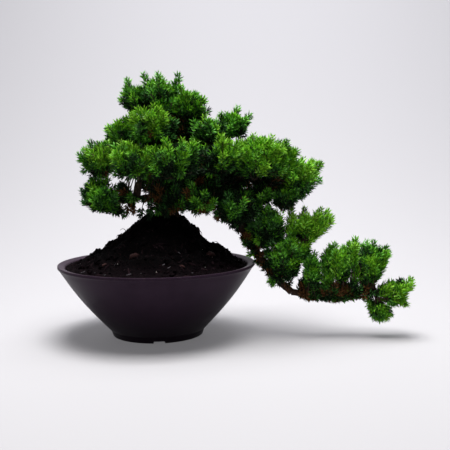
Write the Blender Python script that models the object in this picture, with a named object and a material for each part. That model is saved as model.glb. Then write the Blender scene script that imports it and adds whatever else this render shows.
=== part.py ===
"""A cascade juniper bonsai in its round training pot.

The pot, the soil mound, the trunk, each bough and each mass of foliage is one closed
solid. Units are metres and +Z is up. The origin is the middle of the pot's underside,
and +X runs towards the bough that cascades over the rim.
"""

import math
import random

import bmesh
import bpy
from mathutils import Vector, noise
from mathutils.bvhtree import BVHTree

MM = 0.001
GAP = 0.0003  # kept between a solid and the one that carries it
UP = Vector((0, 0, 1))

# Pot
RIM_RADIUS = 0.115
POT_HEIGHT = 0.085
POT_SEGMENTS = 40
POT_EDGE = 0.0008  # bevel of the lip and the foot
LIP_WIDTH = 0.009
LIP_DROP = 0.002  # how far the lip slopes down towards the soil
LIP_BAND = 0.0048  # height of the lip's outer band
LIP_OVERHANG = 0.0018  # how far the band stands out from the wall
FOOT_RADIUS = 0.0528
FOOT_FLARE = 0.0025
FOOT_HEIGHT = 0.0075
FOOT_WALL = 0.006
WALL_START_RADIUS = 0.057
WALL_END_GAP = 0.001  # from the wall's ends to the foot and to the lip's band
WALL_RINGS = 6
WALL_BELLY = 0.0036  # how far the wall bows out from a straight cone
WALL_THICKNESS = 0.0035
WALL_THICKENING = 0.0035  # added to the wall on the way up to the lip
FLOOR_TOP = 0.0095
FLOOR_UNDERSIDE = 0.0045
HOLLOW_RINGS = 5
PAD_RADIUS = 0.011  # flat pad in the middle of the underside
DRAIN_RADIUS = 0.0045
DRAIN_CIRCLE = 0.027
DRAIN_COUNT = 4
DRAIN_SIDES = 10
NOTCH_WIDTH = 0.013
NOTCH_HEIGHT = 0.0025
NOTCH_X = 0.0055

# Soil
SOIL_EDGE_DEPTH = 0.0015  # below the lip's inner edge
MOUND_TOP = 0.138
MOUND_X = 0.009
MOUND_FLAT_RADIUS = 0.024
MOUND_HOLLOW = 1.35  # above 1, the slope is steeper at the top than at the edge
MOUND_RINGS = 7
MOUND_CROWDING = 1.1  # above 1, the mound's rings crowd towards its top
SHOULDER_AT = Vector((0.074, -0.004))
SHOULDER_RADIUS = 0.013
SHOULDER_HEIGHT = 0.005
LUMP_HEIGHT = 0.0030
LUMP_SIZE = 0.017

# Trunk and boughs
TRUNK_ROOT_RADIUS = 0.0100
TRUNK_TIP_RADIUS = 0.0026
TRUNK_FLARE = 0.34  # how far the root ridges stand out at the soil
TRUNK_FLARE_HEIGHT = 0.020
ROOT_RIDGES = 5
TRUNK_SIDES = 10
BOUGH_SIDES = 6
LIMB_STEP = 0.013  # between two rings of a limb
FOOT_DOME = 0.35  # height of the dome on a limb's foot, as a share of its radius
TIP_DOME = 0.6
SMALL_STEP = 0.00004  # by which a foot is moved until it is just clear of its carrier

# Foliage
SEED = 41
CORE_PEAK = 1.22  # the core's twelve points, as a share of its size
CORE_DIP = 0.93
CORE_ROUGHNESS = 0.10
STEM_RADIUS = 0.0016
STEM_SIDES = 4
TWIG_RADIUS = 0.0008
SPRAY_LENGTH = 0.024
SPRAY_COLUMNS = 6
WHORLS = ((0.80, 0.0060), (0.46, 0.0050))  # share of a spray behind its tip, and radius
SPRAY_WAIST = 0.42  # radius between two needles, as a share of the whorl's
NEEDLE_LEAN = 0.24  # how far a needle's point leans forward, as a share of its spray
SHORTEST_SPRAY = 0.005  # how far a spray stands out of its core at least
ROOT_DEPTH = 0.6  # where a spray is rooted in its core, as a share of the core's size
ROOT_DROP = 0.4  # how far a bent spray's root lies to the other side, as a share of its bend
SPRAY_AREA = 0.0013  # share of a mass's surface that one spray covers
SPRAY_SHAKE = 0.22  # how far sprays stray from an even spread
CLEARANCE = 0.0007  # between sprays of different masses, and to the limbs
UPTURN = 0.35  # how far sprays bend up from straight outwards
FLOOR_CLEARANCE = 0.004

TRUNK_POINTS = [(16, 0, 138), (13, 1, 162), (17, 3, 192), (12, 4, 224), (14, 1, 256)]
# Each bough: the limb that carries it, how far along that limb its foot is (0 to 1), the
# points that it passes after its foot, and its radius at the foot and at the tip, in mm
BOUGHS = {
    "bough_left": ("trunk", 0.44, [(-14, -3, 198), (-36, -1, 204), (-49, 0, 206)], (4.2, 2.0)),
    "bough_low_left": ("trunk", 0.20, [(-6, -4, 163), (-28, -7, 158), (-39, -9, 156)], (3.2, 1.8)),
    "bough_front": ("trunk", 0.38, [(17, -20, 190), (13, -31, 194)], (3.4, 2.2)),
    "bough_right": ("trunk", 0.52, [(42, -8, 203), (74, -15, 202), (97, -19, 201)], (4.0, 2.0)),
    "bough_upper_right": ("trunk", 0.70, [(38, 2, 229), (58, 1, 237), (68, 0, 240)], (2.9, 1.7)),
    "bough_back": ("trunk", 0.62, [(21, 15, 216), (24, 24, 220)], (3.2, 2.1)),
    "bough_back_left": ("trunk", 0.48, [(4, 15, 199), (-11, 26, 202)], (3.2, 1.9)),
    "bough_back_right": ("trunk", 0.40, [(40, 17, 190), (70, 28, 193), (92, 34, 195)], (3.8, 1.9)),
    "cascade_limb": (
        "trunk",
        0.26,
        [(40, -5, 175), (65, -7, 173), (86, -7, 155), (101, -8, 125), (116, -10, 98),
         (138, -14, 68), (157, -18, 51)],
        (6.0, 4.0),
    ),
    "cascade_far": (
        "cascade_limb", 1.0, [(180, -20, 48.5), (210, -23, 47), (236, -25, 49.5), (252, -27, 53)],
        (3.7, 1.8),
    ),
    "bough_far_right": ("cascade_limb", 0.22, [(84, 3, 181), (112, 5, 180), (139, 0, 180)], (3.4, 1.9)),
    "side_limb": ("cascade_limb", 0.61, [(127, 4, 108), (150, 7, 107), (166, -4, 110)], (2.4, 1.6)),
}  # fmt: skip

# Each mass: its middle and its reach from there in mm, the limb that carries it, and the
# size of its core as a share of its reach
MASSES = {
    "foliage_apex": ((7, 0, 275), (31, 30, 31), "trunk", 0.68),
    "foliage_apex_left": ((-20, -8, 274), (22, 22, 21), "trunk", 0.68),
    "foliage_apex_right": ((39, 4, 264), (28, 26, 29), "trunk", 0.68),
    "foliage_crown_front": ((-2, -30, 242), (31, 25, 24), "trunk", 0.68),
    "foliage_shoulder_left": ((-38, -6, 234), (24, 25, 21), "trunk", 0.68),
    "foliage_upper_centre": ((61, -22, 233), (25, 23, 22), "bough_upper_right", 0.68),
    "foliage_upper_right": ((91, 0, 243), (24, 25, 22), "bough_upper_right", 0.68),
    "foliage_left": ((-68, 0, 203), (26, 28, 25), "bough_left", 0.68),
    "foliage_front_left": ((-24, -44, 202), (32, 24, 26), "bough_front", 0.68),
    "foliage_front": ((27, -50, 203), (33, 24, 29), "bough_front", 0.68),
    "foliage_front_right": ((75, -42, 205), (32, 24, 28), "bough_right", 0.68),
    "foliage_right": ((123, -20, 201), (40, 32, 33), "bough_right", 0.68),
    "foliage_far_right": ((167, -5, 181), (30, 29, 27), "bough_far_right", 0.68),
    "foliage_back": ((24, 46, 238), (44, 34, 36), "bough_back", 0.68),
    "foliage_back_left": ((-37, 45, 210), (38, 32, 34), "bough_back_left", 0.68),
    "foliage_back_right": ((127, 46, 203), (42, 32, 30), "bough_back_right", 0.68),
    "foliage_low_back": ((7, 52, 177), (39, 32, 27), "bough_back_left", 0.68),
    "foliage_low_back_right": ((85, 48, 172), (37, 32, 27), "bough_back_right", 0.68),
    "foliage_low_left": ((-61, -10, 161), (29, 25, 23), "bough_low_left", 0.62),
    "foliage_left_under": ((-23, -8, 167), (29, 23, 26), "bough_left", 0.62),
    "foliage_low_centre": ((20, -27, 160), (32, 18, 18), "cascade_limb", 0.65),
    "foliage_low_front": ((52, -32, 160), (30, 25, 27), "cascade_limb", 0.68),
    "foliage_low_right": ((92, -30, 151), (32, 25, 28), "cascade_limb", 0.68),
    "foliage_low_mid_right": ((124, -8, 165), (25, 23, 21), "bough_far_right", 0.66),
    "foliage_low_far_right": ((149, -12, 158), (21, 21, 18), "bough_far_right", 0.65),
    "foliage_limb_upper": ((129, -18, 123), (30, 23, 31), "cascade_limb", 0.65),
    "foliage_shoots": ((172, -15, 127), (27, 24, 23), "side_limb", 0.55),
    "foliage_inner": ((153, -20, 85), (33, 25, 38), "cascade_limb", 0.68),
    "foliage_small": ((180, -24, 74), (21, 18, 29), "cascade_far", 0.62),
    "foliage_cascade_a": ((214, -20, 76), (25, 23, 35), "cascade_far", 0.7),
    "foliage_cascade_b": ((246, -22, 81), (31, 24, 35), "cascade_far", 0.7),
    "foliage_cascade_tip": ((277, -28, 55), (26, 21, 18), "cascade_far", 0.5),
    "foliage_cascade_low": ((256, -28, 29), (20, 17, 20), "cascade_far", 0.5),
}


def clear_scene():
    """Remove every object that the file starts with."""
    for thing in list(bpy.data.objects):
        bpy.data.objects.remove(thing)


def make_material(name, colour, roughness):
    """A plain Principled material."""
    material = bpy.data.materials.new(name)
    material.use_nodes = True
    shader = material.node_tree.nodes["Principled BSDF"]
    shader.inputs["Base Color"].default_value = (*colour, 1)
    shader.inputs["Roughness"].default_value = roughness
    shader.inputs["Metallic"].default_value = 0
    return material


def make_object(name, vertices, faces, material=None):
    """A mesh object at the origin, of triangles that point outwards."""
    mesh = bpy.data.meshes.new(name)
    mesh.from_pydata([tuple(v) for v in vertices], [], faces)
    surface = bmesh.new()
    surface.from_mesh(mesh)
    bmesh.ops.recalc_face_normals(surface, faces=surface.faces)
    bmesh.ops.triangulate(surface, faces=surface.faces)
    surface.to_mesh(mesh)
    surface.free()
    if material:
        mesh.materials.append(material)
    made = bpy.data.objects.new(name, mesh)
    bpy.context.scene.collection.objects.link(made)
    return made


def shade_round(thing, angle=40):
    """Smooth shading with sharp edges where the surface turns."""
    thing.data.shade_smooth()
    thing.data.set_sharp_from_angle(angle=math.radians(angle))


def rings_to_solid(rings):
    """Vertices and faces of a closed skin over rings, where a ring of one point is a pole."""
    vertices, faces, starts = [], [], []
    for ring in rings:
        starts.append(len(vertices))
        vertices += ring
    for first, second in zip(range(len(rings) - 1), range(1, len(rings))):
        a, b = starts[first], starts[second]
        sides = max(len(rings[first]), len(rings[second]))
        for k in range(sides):
            n = (k + 1) % sides
            if len(rings[first]) == 1:
                faces.append((a, b + k, b + n))
            elif len(rings[second]) == 1:
                faces.append((a + k, a + n, b))
            else:
                faces.append((a + k, a + n, b + n, b + k))
    if len(rings[0]) > 1:
        faces.append(tuple(range(starts[0], starts[0] + len(rings[0]))))
    if len(rings[-1]) > 1:
        faces.append(tuple(range(starts[-1], starts[-1] + len(rings[-1]))))
    return vertices, faces


def circle(radius, z, segments=POT_SEGMENTS):
    """A ring round the pot's axis, or one point where the radius is nothing."""
    if radius == 0:
        return [Vector((0, 0, z))]
    turns = [2 * math.pi * k / segments for k in range(segments)]
    return [Vector((radius * math.cos(t), radius * math.sin(t), z)) for t in turns]


WALL_BOTTOM = FOOT_HEIGHT + WALL_END_GAP
WALL_TOP = POT_HEIGHT - LIP_BAND - WALL_END_GAP


def wall_radius(z):
    """The outer radius of the pot's bowed wall."""
    share = (z - WALL_BOTTOM) / (WALL_TOP - WALL_BOTTOM)
    cone = WALL_START_RADIUS + (RIM_RADIUS - LIP_OVERHANG - WALL_START_RADIUS) * share
    return cone + WALL_BELLY * math.sin(math.pi * share)


def inner_radius(z):
    """The radius of the pot's hollow."""
    share = (z - WALL_BOTTOM) / (WALL_TOP - WALL_BOTTOM)
    thickness = WALL_THICKNESS + WALL_THICKENING * max(share, 0) ** 2
    return min(wall_radius(min(z, WALL_TOP)) - thickness, RIM_RADIUS - LIP_WIDTH)


def heights(bottom, top, count):
    """Evenly spaced heights, both ends included."""
    return [bottom + (top - bottom) * k / (count - 1) for k in range(count)]


SOIL_EDGE = POT_HEIGHT - LIP_DROP - SOIL_EDGE_DEPTH
INNER_HEIGHTS = heights(FLOOR_TOP, SOIL_EDGE, HOLLOW_RINGS)


def add_pot(material):
    """The turned pot, with drain holes in its floor and a notch in its foot."""
    foot_inner = FOOT_RADIUS - FOOT_WALL
    profile = [
        (0, 0),
        (PAD_RADIUS, 0),
        (PAD_RADIUS + POT_EDGE, FLOOR_UNDERSIDE),
        (foot_inner - POT_EDGE, FLOOR_UNDERSIDE),
        (foot_inner, 0),
        (FOOT_RADIUS, 0),
        (FOOT_RADIUS + FOOT_FLARE, FOOT_HEIGHT),
    ]
    profile += [(wall_radius(z), z) for z in heights(WALL_BOTTOM, WALL_TOP, WALL_RINGS)]
    profile += [
        (RIM_RADIUS - POT_EDGE / 2, POT_HEIGHT - LIP_BAND),
        (RIM_RADIUS, POT_HEIGHT - LIP_BAND + POT_EDGE),
        (RIM_RADIUS, POT_HEIGHT - POT_EDGE),
        (RIM_RADIUS - POT_EDGE, POT_HEIGHT),
        (RIM_RADIUS - LIP_WIDTH, POT_HEIGHT - LIP_DROP),
    ]
    profile += [(inner_radius(z), z) for z in reversed(INNER_HEIGHTS)]
    profile.append((0, FLOOR_TOP))
    pot = make_object("pot", *rings_to_solid([circle(r, z) for r, z in profile]), material)
    for k in range(DRAIN_COUNT):
        turn = math.pi / DRAIN_COUNT + 2 * math.pi * k / DRAIN_COUNT
        at = Vector((DRAIN_CIRCLE * math.cos(turn), DRAIN_CIRCLE * math.sin(turn), 0))
        ends = (FLOOR_UNDERSIDE / 2, FLOOR_TOP * 2)
        rings = [[at + p for p in circle(DRAIN_RADIUS, z, DRAIN_SIDES)] for z in ends]
        cut(pot, make_object(f"drain_cutter_{k}", *rings_to_solid(rings)))
    near, far = -FOOT_RADIUS - FOOT_FLARE * 2, -FOOT_RADIUS + FOOT_WALL * 1.5
    left, right = NOTCH_X - NOTCH_WIDTH / 2, NOTCH_X + NOTCH_WIDTH / 2
    plan = ((left, near), (right, near), (right, far), (left, far))
    rings = [[Vector((x, y, z)) for x, y in plan] for z in (-NOTCH_HEIGHT, NOTCH_HEIGHT)]
    cut(pot, make_object("notch_cutter", *rings_to_solid(rings)))
    shade_round(pot, 30)


def cut(body, cutter):
    """Cut one object out of another with a live Boolean modifier."""
    cutter.hide_render = True
    cutter.display_type = "WIRE"
    difference = body.modifiers.new(cutter.name, "BOOLEAN")
    difference.operation = "DIFFERENCE"
    difference.solver = "EXACT"
    difference.object = cutter


def soil_height(point, edge_distance):
    """The mound's height at a point: flat at the trunk, then a lumpy slope to the pot's edge."""
    away = (point - Vector((MOUND_X, 0))).length
    slope = min(max((away - MOUND_FLAT_RADIUS) / (edge_distance - MOUND_FLAT_RADIUS), 0), 1)
    height = SOIL_EDGE + (MOUND_TOP - SOIL_EDGE) * (1 - slope) ** MOUND_HOLLOW
    window = math.sin(math.pi * slope)
    lumps = noise.noise(Vector((point.x, point.y, 0)) / LUMP_SIZE) * LUMP_HEIGHT * 2
    near = (point - SHOULDER_AT).length / SHOULDER_RADIUS
    return height + window * lumps + min(window * 2, 1) * SHOULDER_HEIGHT * math.exp(-(near**2))


def add_soil(material):
    """The soil: it fills the pot, and is heaped up to the trunk's foot."""
    clear = 2 * GAP
    edge = circle(inner_radius(SOIL_EDGE) - clear, SOIL_EDGE)
    middle = Vector((MOUND_X, 0))
    rings = [[Vector((MOUND_X, 0, MOUND_TOP))]]
    for k in range(1, MOUND_RINGS + 1):
        share = (k / MOUND_RINGS) ** MOUND_CROWDING
        ring = []
        for rim_point in edge:
            out = rim_point.xy - middle
            start = MOUND_FLAT_RADIUS / out.length
            along = start + (1 - start) * (share if k > 1 else 0)
            place = middle + out * along
            ring.append(Vector((*place, soil_height(place, out.length))))
        rings.append(ring)
    for z in reversed(INNER_HEIGHTS[1:-1]):
        rings.append(circle(inner_radius(z) - clear, z))
    rings.append(circle(inner_radius(FLOOR_TOP) - clear, FLOOR_TOP + clear))
    rings.append([Vector((0, 0, FLOOR_TOP + clear))])
    soil = make_object("soil", *rings_to_solid(rings), material)
    shade_round(soil, 60)


def smooth_path(points, step=LIMB_STEP):
    """Points along a Catmull-Rom curve, about a step apart."""
    ends = [points[0] * 2 - points[1], *points, points[-1] * 2 - points[-2]]
    path = []
    for a, b, c, d in zip(ends, ends[1:], ends[2:], ends[3:]):
        count = max(1, round((c - b).length / step))
        for k in range(count):
            t = k / count
            bend = 2 * b + (c - a) * t + (2 * a - 5 * b + 4 * c - d) * t**2
            path.append((bend + (3 * b - a - 3 * c + d) * t**3) / 2)
    return [*path, points[-1]]


def across(direction):
    """Two directions square to this one and to each other."""
    side = direction.cross(UP if abs(direction.z) < 0.9 else Vector((1, 0, 0))).normalized()
    return side, direction.cross(side).normalized()


def tube_rings(path, radii, sides, domed=True):
    """Rings along a path, carried on without twisting, closed by a dome at each end."""
    along = [(b - a).normalized() for a, b in zip(path, path[1:])]
    along.append(along[-1])
    side = across(along[0])[0]
    rings = []
    for place, direction, radius in zip(path, along, radii):
        side = (side - direction * side.dot(direction)).normalized()
        other = direction.cross(side)
        turns = [2 * math.pi * k / sides for k in range(sides)]
        rings.append([place + (side * math.cos(t) + other * math.sin(t)) * radius for t in turns])
    if domed:
        rings.insert(0, [path[0] - along[0] * radii[0] * FOOT_DOME])
        rings.append([path[-1] + along[-1] * radii[-1] * TIP_DOME])
    return rings


def segment_gap(a, b, c, d):
    """The least distance between two straight segments."""
    u, v, w = b - a, d - c, a - c
    uu, uv, vv, uw, vw = u.dot(u), u.dot(v), v.dot(v), u.dot(w), v.dot(w)
    square = uu * vv - uv * uv
    s = min(max((uv * vw - vv * uw) / square, 0), 1) if square > 1e-16 else 0
    t = (uv * s + vw) / vv if vv else 0
    if t < 0 or t > 1:
        t = min(max(t, 0), 1)
        s = min(max((uv * t - uw) / uu, 0), 1) if uu else 0
    return (w + u * s - v * t).length


class Space:
    """What the limbs and stems take up so far.

    Each has rods with a radius, for quick sums, and its true surface, to be seated on.
    """

    def __init__(self):
        self.rods = []
        self.surfaces = []

    def take(self, owner, path, radii, solid):
        """Add a limb's rods and its surface."""
        for a, b, radius in zip(path, path[1:], radii):
            self.rods.append((owner, a, b, radius))
        self.surfaces.append(BVHTree.FromPolygons(*solid))

    def room(self, owner, a, b, radius):
        """The least gap from a rod to all that other owners hold."""
        least = 1.0
        for other, c, d, thick in self.rods:
            if other == owner:
                continue
            middles = ((a + b) / 2 - (c + d) / 2).length
            if middles - ((b - a).length + (d - c).length) / 2 - radius - thick < least:
                least = min(least, segment_gap(a, b, c, d) - radius - thick)
        return least


def seated_foot(name, start, aim, radius, grown, space):
    """The foot of a limb or stem that lies just clear of its carrier.

    It starts where a ball of its radius is clear, and comes nearer while its true rings are.
    """
    foot = start
    while space.room(name, foot, foot, radius) < GAP:
        foot = foot + aim * SMALL_STEP
    while True:
        nearer = foot - aim * SMALL_STEP
        dome, ring = grown(nearer)[2][:2]
        if any(s.find_nearest(p)[3] < GAP for s in space.surfaces for p in dome + ring):
            return foot
        foot = nearer


def point_along(path, share):
    """The point at a share of a path's length, from 0 to 1."""
    left = share * sum((b - a).length for a, b in zip(path, path[1:]))
    for a, b in zip(path, path[1:]):
        length = (b - a).length
        if left <= length:
            return a.lerp(b, left / length)
        left -= length
    return path[-1]


def taper(first, last, count):
    """Radii that shrink evenly along a limb."""
    return [first + (last - first) * k / (count - 1) for k in range(count)]


def add_bough(name, points, radii, material, space, limbs):
    """One tapering bough, seated on its carrier."""
    start, *rest = points
    aim = (rest[0] - start).normalized()

    def grown(foot):
        path = smooth_path([foot, *[p for p in rest if (p - foot).dot(aim) > radii[0]]])
        widths = taper(*radii, len(path))
        return path, widths, tube_rings(path, widths, BOUGH_SIDES)

    path, widths, rings = grown(seated_foot(name, start, aim, radii[0], grown, space))
    solid = rings_to_solid(rings)
    shade_round(make_object(name, *solid, material), 80)
    space.take(name, path, widths, solid)
    limbs[name] = path


def add_trunk(material, space, limbs):
    """The trunk, from a flat cut at the soil with root ridges to its tip in the crown."""
    points = [Vector(p) * MM for p in TRUNK_POINTS]
    points[0].z = MOUND_TOP + GAP
    path = smooth_path(points)
    widths = taper(TRUNK_ROOT_RADIUS, TRUNK_TIP_RADIUS, len(path))
    rings = tube_rings(path, widths, TRUNK_SIDES, domed=False)
    for ring, place in zip(rings, path):
        low = max(0, 1 - (place.z - path[0].z) / TRUNK_FLARE_HEIGHT)
        for k, point in enumerate(ring):
            ridge = (1 + math.cos(2 * math.pi * ROOT_RIDGES * k / TRUNK_SIDES)) / 2
            ring[k] = place + (point - place) * (1 + TRUNK_FLARE * low * ridge)
            if place is path[0]:
                ring[k].z = place.z
    rings.append([path[-1] + UP * widths[-1]])
    solid = rings_to_solid(rings)
    shade_round(make_object("trunk", *solid, material), 80)
    space.take("trunk", path, widths, solid)
    limbs["trunk"] = path


def add_limbs(material, space):
    """The trunk and every bough, each on the limb that carries it."""
    limbs = {}
    add_trunk(material, space, limbs)
    for name, (carrier, share, points, radii) in BOUGHS.items():
        points = [point_along(limbs[carrier], share), *[Vector(p) * MM for p in points]]
        add_bough(name, points, [r * MM for r in radii], material, space, limbs)
    return limbs


def spread(count, rng):
    """Directions spread evenly over a ball, each shaken a little."""
    golden = math.pi * (3 - math.sqrt(5))
    for k in range(count):
        z = 1 - 2 * (k + 0.5) / count
        flat = math.sqrt(1 - z * z)
        way = Vector((flat * math.cos(golden * k), flat * math.sin(golden * k), z))
        shake = Vector([rng.uniform(-SPRAY_SHAKE, SPRAY_SHAKE) for _ in range(3)])
        yield (way + shake).normalized()


def scaled(way, reach, share=1.0):
    """A direction stretched to a share of a mass's reach."""
    return Vector((way.x * reach.x, way.y * reach.y, way.z * reach.z)) * share


def nearest_on(path, point):
    """The point of a path that is nearest to this one."""
    places = []
    for a, b in zip(path, path[1:]):
        share = (point - a).dot(b - a) / (b - a).length_squared
        places.append(a.lerp(b, min(max(share, 0), 1)))
    return min(places, key=lambda place: (place - point).length)


def add_stem(name, mass, limbs, space):
    """The rings of a mass's stem, seated on its limb and ending in the mass's middle."""
    centre, _, limb, _ = mass
    start = nearest_on(limbs[limb], centre)
    radii = taper(STEM_RADIUS, TWIG_RADIUS, 3)

    def grown(foot):
        path = [foot, foot.lerp(centre, 0.5), centre]
        return path, radii, tube_rings(path, radii, STEM_SIDES)

    aim = (centre - start).normalized()
    path, radii, rings = grown(seated_foot(name, start, aim, STEM_RADIUS, grown, space))
    solid = rings_to_solid(rings)
    space.take(name, path, radii, solid)
    return solid


def borders(name, masses):
    """Planes half-way to each other mass that keep this one to its own space."""
    centre, reach, _, _ = masses[name]
    planes = []
    for other, (middle, extent, _, _) in masses.items():
        if other != name:
            away = middle - centre
            way = away.normalized()
            own, far = scaled(way, reach).length, scaled(way, extent).length
            planes.append((way, away.length * own / (own + far) - CLEARANCE / 2))
    return planes


def spray_rings(root, tip):
    """A spray of needles: two whorls of points that lean towards the tip."""
    aim = (tip - root).normalized()
    side, other = across(aim)
    leafy = min(SPRAY_LENGTH, (tip - root).length)

    def ring(back, radius, lean=0.0, odd=0):
        points = []
        for k in range(SPRAY_COLUMNS):
            turn = 2 * math.pi * k / SPRAY_COLUMNS
            out = side * math.cos(turn) + other * math.sin(turn)
            if (k + odd) % 2 == 0:
                points.append(tip - aim * back + out * radius + aim * lean)
            else:
                points.append(tip - aim * back + out * radius * SPRAY_WAIST)
        return points

    lean = leafy * NEEDLE_LEAN
    whorls = [ring(leafy * back, radius, lean, k) for k, (back, radius) in enumerate(WHORLS)]
    return [[root], *whorls, [tip]]


def fit(out, planes, margin=0.0):
    """The share of an arm from a mass's middle that stays inside its borders."""
    crossed = [(limit - margin) / out.dot(way) for way, limit in planes if out.dot(way) > limit - margin]
    return min([1.0, *crossed])


def spray_fits(name, centre, root, tip, planes, space):
    """Say if a spray stays in its mass's space and clear of every limb and stem."""
    aim = (tip - root).normalized()
    leafy = min(SPRAY_LENGTH, (tip - root).length)
    first, second = (tip - aim * leafy * (back - NEEDLE_LEAN) for back, _ in WHORLS)
    foot = tip - aim * leafy
    rods = [
        (root, foot, TWIG_RADIUS),
        (foot, first, WHORLS[0][1]),
        (first, second, WHORLS[1][1]),
        (second, tip, TWIG_RADIUS),
    ]
    for a, b, radius in rods:
        if min(a.z, b.z) - radius < FLOOR_CLEARANCE:
            return False
        if any((b - centre).dot(way) > limit - radius for way, limit in planes):
            return False
        if space.room(name, a, b, radius) < CLEARANCE:
            return False
    return True


def plan_sprays(name, mass, planes, space, rng):
    """Sprays all over one mass, each tried upturned, straight and drooping."""
    centre, reach, _, core = mass
    mean = (reach.x + reach.y + reach.z) / 3
    sprays = []
    for straight in spread(round(4 * math.pi * mean**2 / SPRAY_AREA), rng):
        for bend in (UPTURN, 0, -UPTURN):
            way = (straight + UP * bend * (1 - abs(straight.z))).normalized()
            out = scaled(way, reach)
            share = fit(out, planes, TWIG_RADIUS)
            tip = centre + out * share
            root = centre + out * min(core * ROOT_DEPTH, share) - UP * reach.z * bend * ROOT_DROP
            if share * out.length < core * out.length + SHORTEST_SPRAY:
                continue
            if spray_fits(name, centre, root, tip, planes, space):
                sprays.append(spray_rings(root, tip))
                break
    return sprays


def core_solid(name, mass, planes, space, rng):
    """The rough ball inside a mass, cut clear of limbs and stems, as vertices and faces."""
    centre, reach, _, core = mass
    limits = list(planes)
    for other, a, b, radius in space.rods:
        if other != name:
            away = nearest_on([a, b], centre) - centre
            limits.append((away.normalized(), away.length - radius - CLEARANCE))
    ball = bmesh.new()
    bmesh.ops.create_icosphere(ball, subdivisions=2, radius=1)
    vertices = []
    for corner in ball.verts:
        peak = CORE_PEAK if len(corner.link_edges) == 5 else CORE_DIP
        out = scaled(corner.co, reach, core * (peak + rng.uniform(-CORE_ROUGHNESS, CORE_ROUGHNESS)))
        vertices.append(centre + out * fit(out, limits))
    faces = [tuple(v.index for v in f.verts) for f in ball.faces]
    ball.free()
    return vertices, faces


def keep_largest(mesh):
    """Drop every loose shell but the largest, which also fills a sealed hollow."""
    surface = bmesh.new()
    surface.from_mesh(mesh)
    bmesh.ops.triangulate(surface, faces=surface.faces)
    left, shells = set(surface.faces), []
    while left:
        shell, front = set(), [left.pop()]
        while front:
            face = front.pop()
            shell.add(face)
            for edge in face.edges:
                for near in edge.link_faces:
                    if near in left:
                        left.remove(near)
                        front.append(near)
        shells.append(shell)
    shells.sort(key=len)
    drop = [face for shell in shells[:-1] for face in shell]
    bmesh.ops.delete(surface, geom=drop, context="FACES")
    closed = all(len(edge.link_faces) == 2 for edge in surface.edges)
    surface.to_mesh(mesh)
    surface.free()
    return closed


def fuse(name, solids, material):
    """Join overlapping solids into one by a Boolean union on a collection, and say if it closed."""
    group = bpy.data.collections.new(name + "_pieces")
    whole = make_object(name, *solids[0])
    pieces = [make_object(f"{name}_{k}", *solid) for k, solid in enumerate(solids[1:])]
    for piece in pieces:
        group.objects.link(piece)
    union = whole.modifiers.new("union", "BOOLEAN")
    union.operation = "UNION"
    union.operand_type = "COLLECTION"
    union.collection = group
    for solver in ("EXACT", "MANIFOLD"):
        union.solver = solver
        evaluated = whole.evaluated_get(bpy.context.evaluated_depsgraph_get())
        mesh = bpy.data.meshes.new_from_object(evaluated)
        closed = keep_largest(mesh)
        if closed:
            break
    for used in [*pieces, whole]:
        bpy.data.objects.remove(used)
    bpy.data.collections.remove(group)
    if closed:
        mesh.name = name
        mesh.materials.clear()
        mesh.materials.append(material)
        bpy.context.scene.collection.objects.link(bpy.data.objects.new(name, mesh))
    return closed


def add_foliage(material, space, limbs):
    """Every mass: a stem, a core and the sprays that find room, fused into one solid."""
    masses = {
        name: (Vector(at) * MM, Vector(reach) * MM, limb, core)
        for name, (at, reach, limb, core) in MASSES.items()
    }
    stems = {name: add_stem(name, mass, limbs, space) for name, mass in masses.items()}
    for number, (name, mass) in enumerate(masses.items()):
        rng = random.Random(SEED + number)
        planes = borders(name, masses)
        solids = [stems[name], core_solid(name, mass, planes, space, rng)]
        solids += [rings_to_solid(rings) for rings in plan_sprays(name, mass, planes, space, rng)]
        while not fuse(name, solids, material):
            solids.pop()


def main():
    """Build the whole plant."""
    clear_scene()
    plastic = make_material("pot_plastic", (0.030, 0.024, 0.027), 0.42)
    earth = make_material("soil", (0.035, 0.027, 0.021), 0.95)
    bark = make_material("bark", (0.20, 0.12, 0.08), 0.85)
    needles = make_material("needles", (0.12, 0.26, 0.05), 0.6)
    space = Space()
    add_pot(plastic)
    add_soil(earth)
    limbs = add_limbs(bark, space)
    add_foliage(needles, space, limbs)


main()
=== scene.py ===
import math
import random

import bmesh
import bpy
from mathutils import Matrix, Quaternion, Vector, noise


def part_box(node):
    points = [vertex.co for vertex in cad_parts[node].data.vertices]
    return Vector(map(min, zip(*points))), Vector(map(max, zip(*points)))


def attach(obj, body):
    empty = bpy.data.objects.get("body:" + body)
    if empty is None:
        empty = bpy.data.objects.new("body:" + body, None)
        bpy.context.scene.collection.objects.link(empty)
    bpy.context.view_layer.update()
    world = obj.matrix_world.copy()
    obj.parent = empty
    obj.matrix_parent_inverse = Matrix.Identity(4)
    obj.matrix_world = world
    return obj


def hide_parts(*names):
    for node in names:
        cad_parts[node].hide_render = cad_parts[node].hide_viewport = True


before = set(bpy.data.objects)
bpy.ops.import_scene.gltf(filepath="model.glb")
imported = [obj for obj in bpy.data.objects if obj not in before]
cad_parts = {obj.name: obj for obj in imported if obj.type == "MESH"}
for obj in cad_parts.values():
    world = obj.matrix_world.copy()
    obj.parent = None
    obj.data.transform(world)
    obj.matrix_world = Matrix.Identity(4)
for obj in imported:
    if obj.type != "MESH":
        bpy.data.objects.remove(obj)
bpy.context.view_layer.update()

# Pot
# A round training pot of thin dark plastic, injection moulded in one piece: a bowed wall, a
# lip that slopes in to the soil, a foot ring with one notch, and drain holes in its floor.
MM = 0.001
UP = Vector((0, 0, 1))
RIM_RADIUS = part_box("pot")[1].x
POT_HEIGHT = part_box("pot")[1].z
POT_SEGMENTS = 144
LIP_WIDTH = 7.8 * MM
LIP_DROP = 2.0 * MM
LIP_BAND = 3.8 * MM
LIP_OVERHANG = 1.8 * MM
LIP_ROUND = 1.1 * MM
FOOT_RADIUS = 52.8 * MM
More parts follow.
